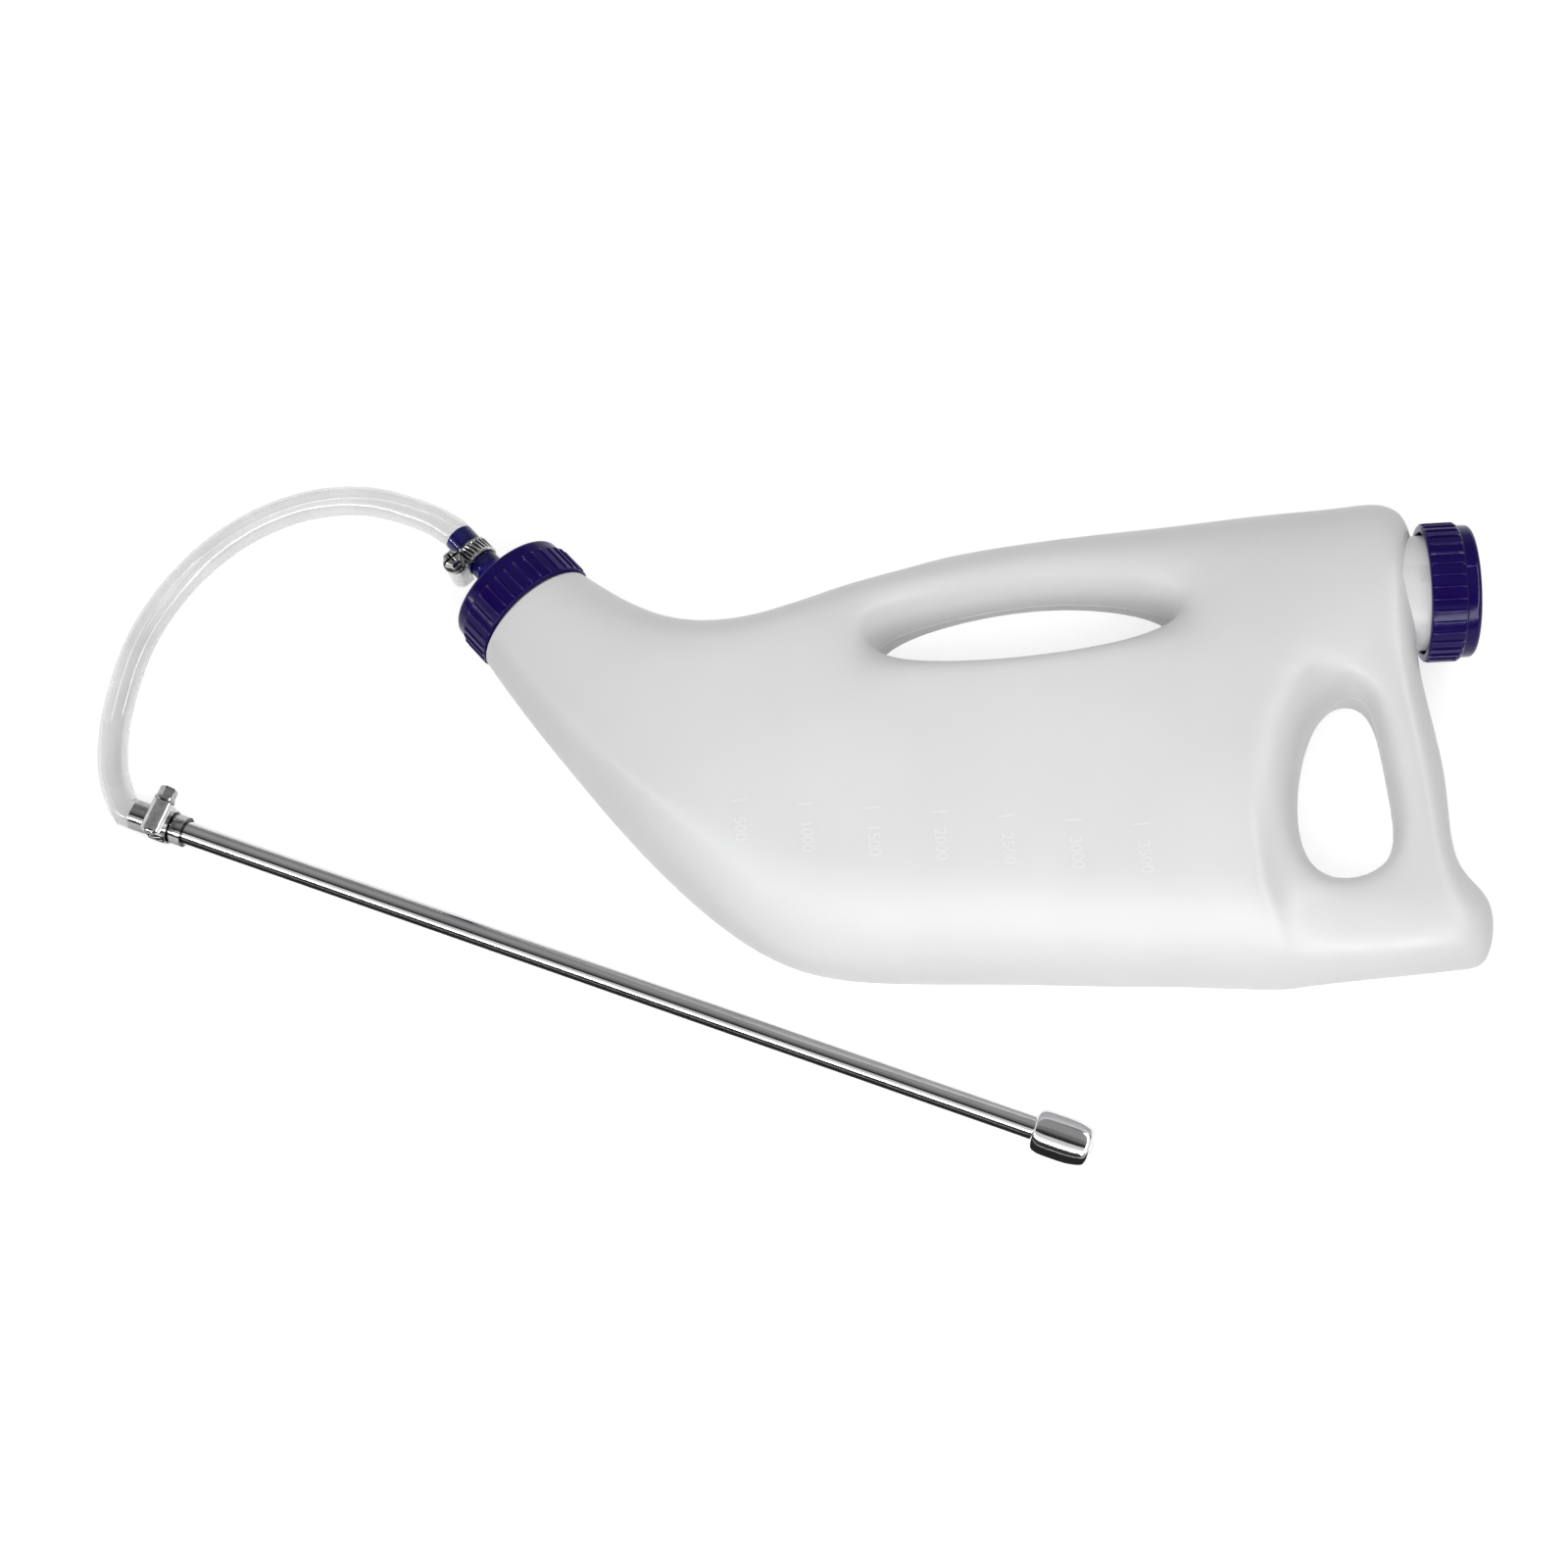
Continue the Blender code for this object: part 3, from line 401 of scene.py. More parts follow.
def node(tree, kind, **values):
    """A new shader node with values for its sockets; an underscore stands for a space."""
    made = tree.nodes.new(f"ShaderNode{kind}")
    for name, value in values.items():
        made.inputs[name.replace("_", " ")].default_value = value
    return made


class Coat:
    """A Principled material and short ways to add detail to it.

    A grain is a noise: its scale, its detail and, where it has one, its stretch.
    """

    def __init__(self, name, colour, roughness, **values):
        self.material = bpy.data.materials.new(name)
        self.material.use_nodes = True
        self.tree = self.material.node_tree
        self.shader = self.tree.nodes["Principled BSDF"].inputs
        self.place = node(self.tree, "TexCoord").outputs["Object"]
        self.shader["Base Color"].default_value = (*colour, 1.0)
        self.shader["Roughness"].default_value = roughness
        for socket, value in values.items():
            self.shader[socket.replace("_", " ")].default_value = value

    def wire(self, source, target):
        self.tree.links.new(source, target)

    def noise(self, scale, detail, stretch=(1, 1, 1)):
        mapping = node(self.tree, "Mapping", Scale=stretch)
        self.wire(self.place, mapping.inputs["Vector"])
        grain = node(self.tree, "TexNoise", Scale=scale, Detail=detail)
        self.wire(mapping.outputs["Vector"], grain.inputs["Vector"])
        return grain.outputs["Fac"]

    def ramp(self, source, low, high, start, end):
        """Turns a grey value between two places into a value between low and high."""
        made = node(self.tree, "MapRange", From_Min=start, From_Max=end, To_Min=low, To_Max=high)
        self.wire(source, made.inputs["Value"])
        return made.outputs["Result"]

    def colours(self, grain, low, high):
        made = node(self.tree, "ValToRGB")
        for stop, place, colour in zip(made.color_ramp.elements, GRAIN_RANGE, (low, high)):
            stop.position = place
            stop.color = (*colour, 1.0)
        self.wire(self.noise(*grain), made.inputs["Fac"])
        self.wire(made.outputs["Color"], self.shader["Base Color"])

    def rough(self, grain, low, high, reach=GRAIN_RANGE):
        self.wire(self.ramp(self.noise(*grain), low, high, *reach), self.shader["Roughness"])

    def painted_ridge_highlight(self, colour):
        """Paints a highlight in a lighter colour on the sharp ridges of a shape."""
        mix = node(self.tree, "Mix")
        mix.data_type = "RGBA"
        sockets = {socket.identifier: socket for socket in [*mix.inputs, *mix.outputs]}
        sockets["B_Color"].default_value = (*colour, 1.0)
        ridge = node(self.tree, "NewGeometry").outputs["Pointiness"]
        self.wire(self.ramp(ridge, 0.0, 1.0, *RIDGE_RANGE), sockets["Factor_Float"])
        self.wire(self.shader["Base Color"].links[0].from_socket, sockets["A_Color"])
        self.wire(sockets["Result_Color"], self.shader["Base Color"])

    def bump(self, grain, depth):
        """Fine relief, on top of any that is there already; its depth is in metres."""
        made = node(self.tree, "Bump", Strength=1.0, Distance=depth)
        self.wire(self.noise(*grain), made.inputs["Height"])
        normal = self.shader["Normal"]
        if normal.is_linked:
            self.wire(normal.links[0].from_socket, made.inputs["Normal"])
        self.wire(made.outputs["Normal"], normal)


def bottle_coat(name, grey, depth):
    """Milky plastic; the depth is the share of light that scatters under its surface."""
    coat = Coat(name, (grey,) * 3, 0.38, Specular_IOR_Level=0.2, Subsurface_Weight=depth,
                Subsurface_Radius=(1.0, 0.95, 0.9), Subsurface_Scale=0.006)
    coat.colours((16.0, 2.0), (grey - 0.015,) * 3, (grey + 0.015,) * 3)
    coat.rough((60.0, 4.0, (1, 2.5, 1)), 0.33, 0.44)
    coat.bump((1400.0, 2.0), 0.00001)
    coat.bump((45.0, 2.0, (1, 0.5, 1)), 0.00012)
    return coat.material


def cap_coat():
    coat = Coat("indigo_polythene", (0.010, 0.003, 0.085), 0.20, Specular_IOR_Level=0.12)
    coat.colours((90.0, 3.0), (0.009, 0.0025, 0.080), (0.011, 0.0035, 0.092))
    coat.rough((260.0, 4.0), 0.10, 0.18)
    # painted highlight: a light lavender colour on the ribs' sharp ridges, where lamps would catch them
    coat.painted_ridge_highlight((0.10, 0.06, 0.30))
    coat.bump((2600.0, 2.0), 0.000012)
    return coat.material


def nozzle_painted_light_coat():
    # Painted light: the caps' indigo polythene in a brighter blue, which stands in for light passing through
    # the nozzle's thin wall and for its bright highlights.
    coat = Coat("indigo_polythene_nozzle", (0.013, 0.008, 0.25), 0.2, Specular_IOR_Level=0.12)
    coat.colours((60.0, 3.0), (0.011, 0.007, 0.21), (0.015, 0.010, 0.28))
    coat.rough((300.0, 3.0), 0.16, 0.28)
    coat.bump((1800.0, 2.0), 0.00001)
    return coat.material


def seal_coat():
    coat = Coat("grey_seal_rubber", (0.30, 0.30, 0.31), 0.7)
    coat.colours((200.0, 4.0), (0.26, 0.26, 0.27), (0.34, 0.34, 0.35))
    coat.bump((3000.0, 3.0), 0.00002)
    return coat.material


def hose_coat():
    coat = Coat("clear_hose", (0.95, 0.95, 0.96), 0.02, Transmission_Weight=1.0, IOR=1.42)
    coat.colours((30.0, 2.0), (0.92, 0.92, 0.92), (0.98, 0.98, 0.98))
    coat.rough((55.0, 3.0), 0.0, 0.02, (0.4, 0.75))
    coat.bump((25.0, 1.0), 0.00001)
    haze = node(coat.tree, "VolumeAbsorption", Color=(0.55, 0.55, 0.55, 1.0), Density=HOSE_TINT)
    coat.wire(haze.outputs["Volume"], coat.tree.nodes["Material Output"].inputs["Volume"])
    return coat.material


def steel_coat():
    coat = Coat("polished_stainless", (0.66, 0.66, 0.67), 0.07, Metallic=1.0)
    coat.colours((30.0, 3.0), (0.60, 0.60, 0.61), (0.68, 0.68, 0.69))
    coat.rough((900.0, 2.0), 0.05, 0.13)
    coat.bump((3500.0, 2.0), 0.0000025)
    return coat.material


def clamp_coat(name, grey, roughness):
    coat = Coat(name, (grey, grey, grey * 1.01), roughness, Metallic=1.0)
    coat.colours((400.0, 4.0), (grey * 0.8,) * 3, (grey * 1.1,) * 3)
    coat.rough((500.0, 4.0), roughness * 0.7, roughness * 1.4)
    coat.bump((2500.0, 3.0), 0.000012)
    return coat.material


def add_profile(bm, points, steps):
    """Turns (radius, height) points about local Z; a profile off the axis is closed."""
    made = [bm.verts.new((radius, 0.0, height)) for radius, height in points]
    ring = list(zip(made, made[1:]))
    if points[0][0] > 0.0:
        ring.append((made[-1], made[0]))
    edges = [bm.edges.new(pair) for pair in ring]
    bmesh.ops.spin(bm, geom=made + edges, cent=(0, 0, 0), axis=(0, 0, 1), angle=math.tau,
                   steps=steps, use_merge=True)
    bmesh.ops.remove_doubles(bm, verts=bm.verts, dist=SAME_PLACE)


def turned(name, profile, coat=None, where=None, sharp=35):
    bm = bmesh.new()
    add_profile(bm, profile, LATHE_STEPS)
    return solid(name, bm, coat, sharp, where)


def combine(target, tool, operation):
    step = target.modifiers.new(f"{operation.lower()}_{tool.name}", "BOOLEAN")
    step.operation = operation
    step.solver = "EXACT"
    step.object = tool


def evaluated(thing):
    """A plain mesh of an object with its modifiers."""
    bpy.context.view_layer.update()
    depsgraph = bpy.context.evaluated_depsgraph_get()
    return bpy.data.meshes.new_from_object(thing.evaluated_get(depsgraph))


def baked(thing, helpers):
    """Turns an object with modifiers into a plain mesh, and removes the helpers."""
    mesh = evaluated(thing)
    thing.modifiers.clear()
    thing.data = mesh
    for helper in helpers:
        bpy.data.objects.remove(helper, do_unlink=True)


def dress(thing, body, replaced=None):
    """Says what a piece rides on and the node whose place it takes."""
    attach(thing, body)
    if replaced:
        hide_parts(replaced)


def round_points(bm, radii, level):
    """A level ring of points, one for each radius."""
    turns = [math.tau * step / len(radii) for step in range(len(radii))]
    return [bm.verts.new((radius * math.cos(turn), radius * math.sin(turn), level))
            for radius, turn in zip(radii, turns)]


def within(share):
    """A share kept between nothing and all."""
    return min(max(share, 0.0), 1.0)


def join(bm, pairs):
    """Faces between pairs of rings; a ring may also repeat one point."""
    for one, two in pairs:
        for a in range(len(one)):
            b = (a + 1) % len(one)
            bm.faces.new(list(dict.fromkeys([one[a], one[b], two[b], two[a]])))


def close(bm, rings):
    """Joins rings into a pipe and closes its ends."""
    join(bm, zip(rings, rings[1:]))
    bm.faces.new(rings[0])
    bm.faces.new(rings[-1])


def rounded(thing, width):
    step = thing.modifiers.new("rounded", "BEVEL")
    step.width = width
    step.segments = 2
    step.limit_method = "ANGLE"
    step.angle_limit = math.radians(40)
    step.harden_normals = True


def corner(radius, low_angle, high_angle, middle, steps=4):
    """Points of a rounded corner of a profile about a middle point, angles in degrees."""
    found = []
    for index in range(steps + 1):
        angle = math.radians(low_angle + (high_angle - low_angle) * index / steps)
        found.append((middle[0] + radius * math.cos(angle), middle[1] + radius * math.sin(angle)))
    return found


def sweep(bm, line, radius, sides):
    """A ring of points round each point of a line, carried along without twist."""
    rings = []
    ahead = (line[1] - line[0]).normalized()
    side = ahead.cross(Vector((0, 0, 1))).normalized()
    for index, spot in enumerate(line):
        before, after = line[max(index - 1, 0)], line[min(index + 1, len(line) - 1)]
        ahead = (after - before).normalized()
        side = (side - ahead * side.dot(ahead)).normalized()
        over = ahead.cross(side)
        size = radius(index)
        rings.append([bm.verts.new(spot + (side * math.cos(a) + over * math.sin(a)) * size)
                      for a in (math.tau * step / sides for step in range(sides))])
    return rings


def through(points, steps):
    """Points of a smooth curve through the given ones."""
    ends = [points[0] * 2 - points[1]] + points + [points[-1] * 2 - points[-2]]
    curve = []
    for a, b, c, d in zip(ends, ends[1:], ends[2:], ends[3:]):
        for step in range(steps):
            t = step / steps
            curve.append(0.5 * (2 * b + (c - a) * t + (2 * a - 5 * b + 4 * c - d) * t ** 2
                                + (3 * b - 3 * c + d - a) * t ** 3))
    return curve + [points[-1]]


def barb_points():
    """Radius and height of the barb's outside, ring by ring."""
    pitch = NOZZLE_BARB_LENGTH / NOZZLE_BARB_COUNT
    starts = [NOZZLE_SHOULDER + index * pitch for index in range(NOZZLE_BARB_COUNT)]
    return [(TUBE_RADIUS - depth, start + share * pitch) for start in starts for depth, share in BARB_SHAPE]


def hose_rings():
    """Centres and inner radii of the hose's rings, and how many of them grip each end."""
    start = NOZZLE_SHOULDER + GAP
    end = NOZZLE_SHOULDER + NOZZLE_BARB_LENGTH
    loose = TUBE_RADIUS + GAP
    tight = TUBE_RADIUS - HOSE_SQUEEZE
    head = [(start, tight - NOZZLE_BARB_DEPTH)]
    head += [(height, radius - HOSE_SQUEEZE) for radius, height in barb_points()]
    head += [(end + GAP, loose), (end + HOSE_LEAD, loose)]
    tail = [(-HOSE_LEAD_OUT, loose), (-GAP, loose), (GAP, tight)]
    tail += [(HOSE_GRIP * share, tight) for share in HOSE_GRIP_SHARES]
    tail += [(HOSE_GRIP - HOSE_GRIP_END, tight), (HOSE_GRIP, tight)]
    head_spots = [FRONT @ Vector((0, 0, height)) for height, _ in head]
    tail_spots = [TUBE @ Vector((0, 0, along)) for along, _ in tail]
    route = [head_spots[-1]] + [Vector(spot) for spot in HOSE_ROUTE] + [tail_spots[0]]
    middle = through(route, HOSE_FINE_STEPS)
    line = head_spots[:-1] + middle + tail_spots[1:]
    inside = [radius for _, radius in head[:-1]] + [loose] * len(middle)
    return line, inside + [radius for _, radius in tail[1:]], len(head), len(tail)


def make_hose(coat):
    """The hose over the nozzle and the steel tube, with its wall."""
    line, inside, head, tail = hose_rings()

    def reach(index):
        """The hose is stretched over the nozzle and the tube, and a little slimmer between them."""
        from_end = min(index - head, len(line) - tail - index) / HOSE_SLIM_RINGS
        return HOSE_RADIUS * (1 - HOSE_FREE_SLIM * within(from_end))

    bm = bmesh.new()
    outer = sweep(bm, line, reach, HOSE_SIDES)
    join(bm, zip(outer, outer[1:]))
    inner = sweep(bm, line, inside.__getitem__, HOSE_SIDES)
    join(bm, zip(inner, inner[1:]))
    join(bm, [(outer[0], inner[0]), (outer[-1], inner[-1])])
    hose = solid("clear_hose", bm, coat, 60)
    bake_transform(hose)
    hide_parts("hose")


def round_shares(count):
    """Places across a round section, and its heights as shares of the radius."""
    angles = [math.pi - math.pi * (row + 0.5) / count for row in range(count)]
    return [(1 + math.cos(a)) / 2 for a in angles], [math.sin(a) for a in angles]


def cage_points():
    """Points of one side of the bottle's cage: (row, column) to (x, y, height)."""
    found = {}
    for column, places in LAYOUT.items():
        for row, spot in enumerate(places, start=1):
            found[row, column] = spot
    shares, depths = round_shares(LAST_ROW + 1)
    for column, (low, high, depth, flat) in enumerate(SPOUT):
        for row in range(LAST_ROW + 1):
            share = shares[row] * (1 - flat) + FLAT_SHARES[row] * flat
            height = depths[row] * (1 - flat) + FLAT_DEPTHS[row] * flat
            x = low[0] + (high[0] - low[0]) * share
            y = low[1] + (high[1] - low[1]) * share
            found[row, column] = (x, y, height * depth)
    for column, (x, y) in LOWER_OUTLINE.items():
        found[0, column] = (x, y, EDGE_SHARE * found[1, column][2])
    for column, (x, y) in UPPER_OUTLINE.items():
        found[LAST_ROW, column] = (x, y, EDGE_SHARE * found[LAST_ROW - 1, column][2])
    for row, (x, y) in enumerate(REAR_OUTLINE):
        inner = min(max(row, 1), LAST_ROW - 1)
        found[row, LAST_COLUMN] = (x, y, EDGE_SHARE * found[inner, LAST_COLUMN - 1][2])
    return found


def hole_points(outline, found):
    """The rim of a hole: each rim point stands beside the cage point of the same row and column."""
    return {key: (x, y, EDGE_SHARE * found[key][2]) for key, (x, y) in outline.items()}


def cage_sides(bm, found):
    """The flat sides of the cage, joined round their border and closed at the mouth."""
    upper = {key: bm.verts.new((x, y, height)) for key, (x, y, height) in found.items()}
    lower = {key: bm.verts.new((x, y, -height)) for key, (x, y, height) in found.items()}
    for row in range(LAST_ROW):
        for column in range(LAST_COLUMN):
            if (row, column) in SLOT_CELLS | LOOP_CELLS:
                continue
            corners = [(row, column), (row, column + 1), (row + 1, column + 1), (row + 1, column)]
            bm.faces.new([upper[key] for key in corners])
            bm.faces.new([lower[key] for key in reversed(corners)])
    border = [(0, column) for column in range(LAST_COLUMN + 1)]
    border += [(row, LAST_COLUMN) for row in range(1, LAST_ROW + 1)]
    border += [(LAST_ROW, column) for column in range(LAST_COLUMN - 1, -1, -1)]
    for one, two in zip(border, border[1:]):
        bm.faces.new([upper[one], lower[one], lower[two], upper[two]])
    mouth = [upper[row, 0] for row in range(LAST_ROW + 1)]
    mouth += [lower[row, 0] for row in range(LAST_ROW, -1, -1)]
    return upper, lower, border, bm.faces.new(mouth)


def tighten(bm, upper, lower, mouth):
    """Creases the mouth fully, and the lines of the cage along which the surface turns tightly."""
    crease = bm.edges.layers.float.new("crease_edge")
    for edge in mouth.edges:
        edge[crease] = 1.0
    for line, amount in TIGHT_LINES:
        for one, two in zip(line, line[1:]):
            for side in (upper, lower):
                bm.edges.get((side[one], side[two]))[crease] = amount


def add_hole(bm, upper, lower, rim):
    """Turns both sides of the cage in to a rim, and joins the rims through the bottle."""
    keys = list(rim)
    high = {key: bm.verts.new(rim[key]) for key in keys}
    low = {key: bm.verts.new((rim[key][0], rim[key][1], -rim[key][2])) for key in keys}
    for one, two in zip(keys, keys[1:] + keys[:1]):
        bm.faces.new([upper[one], upper[two], high[two], high[one]])
        bm.faces.new([lower[two], lower[one], low[one], low[two]])
        bm.faces.new([high[one], high[two], low[two], low[one]])
    return {side[key]: rim[key] for key in keys for side in (high, low)}


def bottle_cage():
    """The coarse cage of the bottle with both sides, and the outline points that are fitted."""
    bm = bmesh.new()
    found = cage_points()
    upper, lower, border, mouth = cage_sides(bm, found)
    tighten(bm, upper, lower, mouth)
    fitted = {side[key]: found[key] for key in border if key[1] >= len(SPOUT) for side in (upper, lower)}
    for outline in (SLOT_OUTLINE, LOOP_OUTLINE):
        fitted.update(add_hole(bm, upper, lower, hole_points(outline, found)))
    return bm, fitted


def smooth_place(point):
    """Where the smooth surface lies at a cage point."""
    faces = point.link_faces
    count = len(faces)
    edges = sum((edge.other_vert(point).co for edge in point.link_edges), Vector())
    across = Vector()
    for face in faces:
        ring = list(face.verts)
        across += ring[(ring.index(point) + 2) % len(ring)].co
    return (point.co * count * count + edges * 4 + across) / (count * (count + 5))


def fit_outline(fitted):
    """Pushes the outline of the cage out until the smooth surface passes through the drawn outline."""
    for _ in range(FIT_ROUNDS):
        moves = {}
        for point, (x, y, _) in fitted.items():
            now = smooth_place(point)
            moves[point] = Vector((x - now.x, y - now.y, 0.0))
        for point, move in moves.items():
            point.co += move


def subdivide(thing, levels):
    step = thing.modifiers.new("smooth", "SUBSURF")
    step.levels = levels
    step.render_levels = levels
    step.boundary_smooth = "PRESERVE_CORNERS"


def rod(name, radius, low, high, where):
    """A filled rod along local Z."""
    return turned(name, [(0.0, low), (radius, low), (radius, high), (0.0, high)], where=where)


def neck(name, where, height):
    """A plain neck with a chamfered rim, filled; its bore is cut later."""
    profile = [(0.0, -NECK_ROOT), (NECK_RADIUS, -NECK_ROOT), (NECK_RADIUS, height - NECK_CHAMFER),
               (NECK_RADIUS - NECK_CHAMFER, height), (0.0, height)]
    return turned(name, profile, where=where)


def thread(name, where, height, coat):
    """The round thread of a neck, which fades out at both ends."""
    steps = int(LATHE_STEPS * THREAD_TURNS)
    reach = NECK_RADIUS - THREAD_SINK
    line = []
    for index in range(steps + 1):
        angle = math.tau * THREAD_TURNS * index / steps
        level = height - THREAD_DROP - THREAD_PITCH * THREAD_TURNS * (1 - index / steps)
        line.append(Vector((reach * math.cos(angle), reach * math.sin(angle), level)))

    def fade(index):
        end = min(index, steps - index) / (THREAD_FADE * steps)
        return THREAD_RADIUS * min(1.0, THREAD_TAIL + (1 - THREAD_TAIL) * end)

    bm = bmesh.new()
    close(bm, sweep(bm, line, fade, THREAD_SIDES))
    return solid(name, bm, coat, where=where)


def bottle_shell(coat):
    """The body without its necks, and its cavity as a tool, both with their modifiers."""
    bm, fitted = bottle_cage()
    fit_outline(fitted)
    bmesh.ops.scale(bm, vec=(1, 1, 1 - BODY_SHRINK), verts=bm.verts)
    bmesh.ops.translate(bm, vec=(0, 0, HALF_DEPTH), verts=bm.verts)
    mesh = finish_mesh(bm, "bottle_shell", 180)
    cavity = link("cavity", mesh.copy())
    body = link("bottle_shell", mesh, coat)
    subdivide(body, BODY_LEVELS)
    subdivide(cavity, CAVITY_LEVELS)
    shrink = cavity.modifiers.new("wall", "DISPLACE")
    shrink.mid_level = 0.0
    shrink.strength = -WALL
    return body, cavity


def make_bottle(coat, relief_highlight_coat):
    body, cavity = bottle_shell(coat)
    tops = (("front", FRONT, FRONT_NECK_TOP), ("rear", REAR, REAR_NECK_TOP))
    tools = [neck(f"{end}_neck", where, top) for end, where, top in tops]
    bores = [rod(f"{end}_bore", NECK_RADIUS - NECK_WALL, -2 * NECK_ROOT, CAP_HEIGHT, where)
             for end, where, _ in tops]
    for tool in tools:
        combine(body, tool, "UNION")
    baked(body, tools)
    make_seam(body, relief_highlight_coat)
    for tool in [cavity] + bores:
        combine(body, tool, "DIFFERENCE")
    baked(body, bores + [cavity])
    make_marks(body, relief_highlight_coat)
    body.data.shade_smooth()
    body.data.set_sharp_from_angle(angle=math.radians(40))
    body.data.materials.clear()
    body.data.materials.append(coat)
    dress(body, "bottle", "bottle_body")
    for end, where, top in tops:
        dress(thread(f"{end}_thread", where, top, coat), "bottle")


def outline_loops(body, level):
    """The closed lines in which a level plane cuts the outside of the body."""
    bm = bmesh.new()
    bm.from_mesh(body.data)
    cut = bmesh.ops.bisect_plane(bm, geom=bm.verts[:] + bm.edges[:] + bm.faces[:], dist=1e-7,
                                 plane_co=(0, 0, level), plane_no=(0, 0, 1))["geom_cut"]
    near = {}
    for edge in cut:
        if isinstance(edge, bmesh.types.BMEdge):
            a, b = edge.verts
            near.setdefault(a, []).append(b)
            near.setdefault(b, []).append(a)
    loops, seen = [], set()
    for start in near:
        if start in seen:
            continue
        loop, now = [start], start
        seen.add(start)
        while True:
            step = [v for v in near[now] if v not in seen]
            if not step:
                break
            now = step[0]
            seen.add(now)
            loop.append(now)
        loops.append([v.co.copy() for v in loop])
    bm.free()
    return loops


def under_cap(spot):
    """Whether a point of the body lies inside one of the caps."""
    places = [where.inverted() @ spot for where in (FRONT, REAR)]
    return any(place.z > 0.0 and math.hypot(place.x, place.y) < CAP_PANEL_RADIUS for place in places)


def bare_runs(loop):
    """The stretches of a closed line that no cap covers."""
    hidden = [under_cap(spot) for spot in loop]
    if True not in hidden:
        return [loop + loop[:2]]
    first = hidden.index(True)
    runs, run = [], []
    for spot, gone in zip(loop[first:] + loop[:first + 1], hidden[first:] + [True]):
        if not gone:
            run.append(spot)
        elif run:
            runs.append(run)
            run = []
    return runs


def make_seam(body, coat):
    """The fine parting line that the mould leaves round the outside."""
    bm = bmesh.new()
    for loop in outline_loops(body, HALF_DEPTH):
        for run in bare_runs(loop):
            if len(run) > SEAM_SHORTEST:
                close(bm, sweep(bm, run, lambda index: SEAM_RADIUS, SEAM_SIDES))
    dress(solid("parting_seam", bm, coat), "bottle")


def mark_mesh(words):
    """Flat raised digits, read towards -Y, from the built-in font."""
    curve = bpy.data.curves.new("mark", "FONT")
    curve.body = words
    curve.size = MARK_SIZE
    curve.extrude = MARK_RAISE
    thing = link("mark", curve)
    mark = evaluated(thing)
    bpy.data.objects.remove(thing, do_unlink=True)
    mark.transform(Matrix.Rotation(-math.pi / 2, 4, "Z"))
    return mark


def make_marks(body, coat):
    """A scale of plain numbers and lines, faintly raised on the flat side."""
    bm = bmesh.new()
    for index in range(MARK_COUNT):
        x, y = MARK_START[0] + index * MARK_STEP[0], MARK_START[1] + index * MARK_STEP[1]
        box(bm, (MARK_LINE_LENGTH, MARK_LINE_WIDTH, 2 * MARK_RAISE), Matrix.Translation((x, y, 0)))
        digits = mark_mesh(str(MARK_VOLUME * (index + 1)))
        digits.transform(Matrix.Translation((x - MARK_SIZE / 3, y - MARK_SIZE, 0)))
        bm.from_mesh(digits)
    surface = bmesh.new()
    surface.from_mesh(body.data)
    tree = BVHTree.FromBMesh(surface)
    surface.free()
    for point in bm.verts:
        spot = tree.ray_cast(Vector((point.co.x, point.co.y, 1.0)), Vector((0, 0, -1)))[0]
        point.co.z = spot.z + math.copysign(MARK_RAISE, point.co.z)
    dress(solid("raised_scale", bm, coat), "bottle")


def cap_profile(hole_radius):
    """Half section of a cap: a closed line for the ring cap, and one from axis to axis for the lid."""
    top = CAP_HEIGHT
    skirt = CAP_PANEL_RADIUS
    inside = CAP_INSIDE_RADIUS
    inner_top = top - CAP_TOP
    rise = (CAP_RIB_LENGTH - CAP_EDGE) / CAP_SKIRT_LEVELS
    outside = [(inside + CAP_LIP, 0.0), (skirt - CAP_EDGE, 0.0)]
    outside += [(skirt - CAP_EDGE * (1 - math.sin(a)), CAP_EDGE * (1 - math.cos(a))) for a in CAP_EDGE_ARC]
    outside += [(skirt, CAP_EDGE + rise * index) for index in range(CAP_SKIRT_LEVELS + 1)]
    outside += [(skirt - CAP_SHOULDER_STEP * share, CAP_RIB_LENGTH + CAP_SHOULDER_STEP * share)
                for share in CAP_SHOULDER_SHARES]
    middle = (skirt - CAP_SHOULDER_STEP - CAP_FILLET, top - CAP_FILLET)
    outside += corner(CAP_FILLET, 0, 90, middle, CAP_FILLET_STEPS)
    if hole_radius > 0.0:
        return outside + [(hole_radius + CAP_HOLE_EDGE, top), (hole_radius, top - CAP_HOLE_EDGE),
                          (hole_radius, inner_top), (inside, inner_top), (inside, CAP_LIP)]
    lid = [(skirt * share, top) for share in CAP_RIM_SHARES]
    lid += [(skirt * share, top - CAP_LIP) for share in CAP_DISH_SHARES + (0.0,)]
    return [(0.0, inner_top), (inside, inner_top), (inside, CAP_LIP)] + outside + lid


def rib_height(angle, level):
    """How far the skirt stands out for its grip ribs at an angle and a level."""
    pitch = math.tau / CAP_RIB_COUNT
    flank = CAP_RIB_FLANK * CAP_RIB_WIDTH
    away = abs((angle / pitch + 0.5) % 1.0 - 0.5) * pitch * CAP_PANEL_RADIUS
    across = 1.0 - within((away - flank) / flank)
    low, high = CAP_RIB_START * CAP_EDGE, CAP_RIB_LENGTH - CAP_EDGE
    up = within((level - low) / CAP_EDGE) * within((high - level) / CAP_EDGE + 1.0)
    return CAP_RIB_PROUD * across * across * (3 - 2 * across) * up


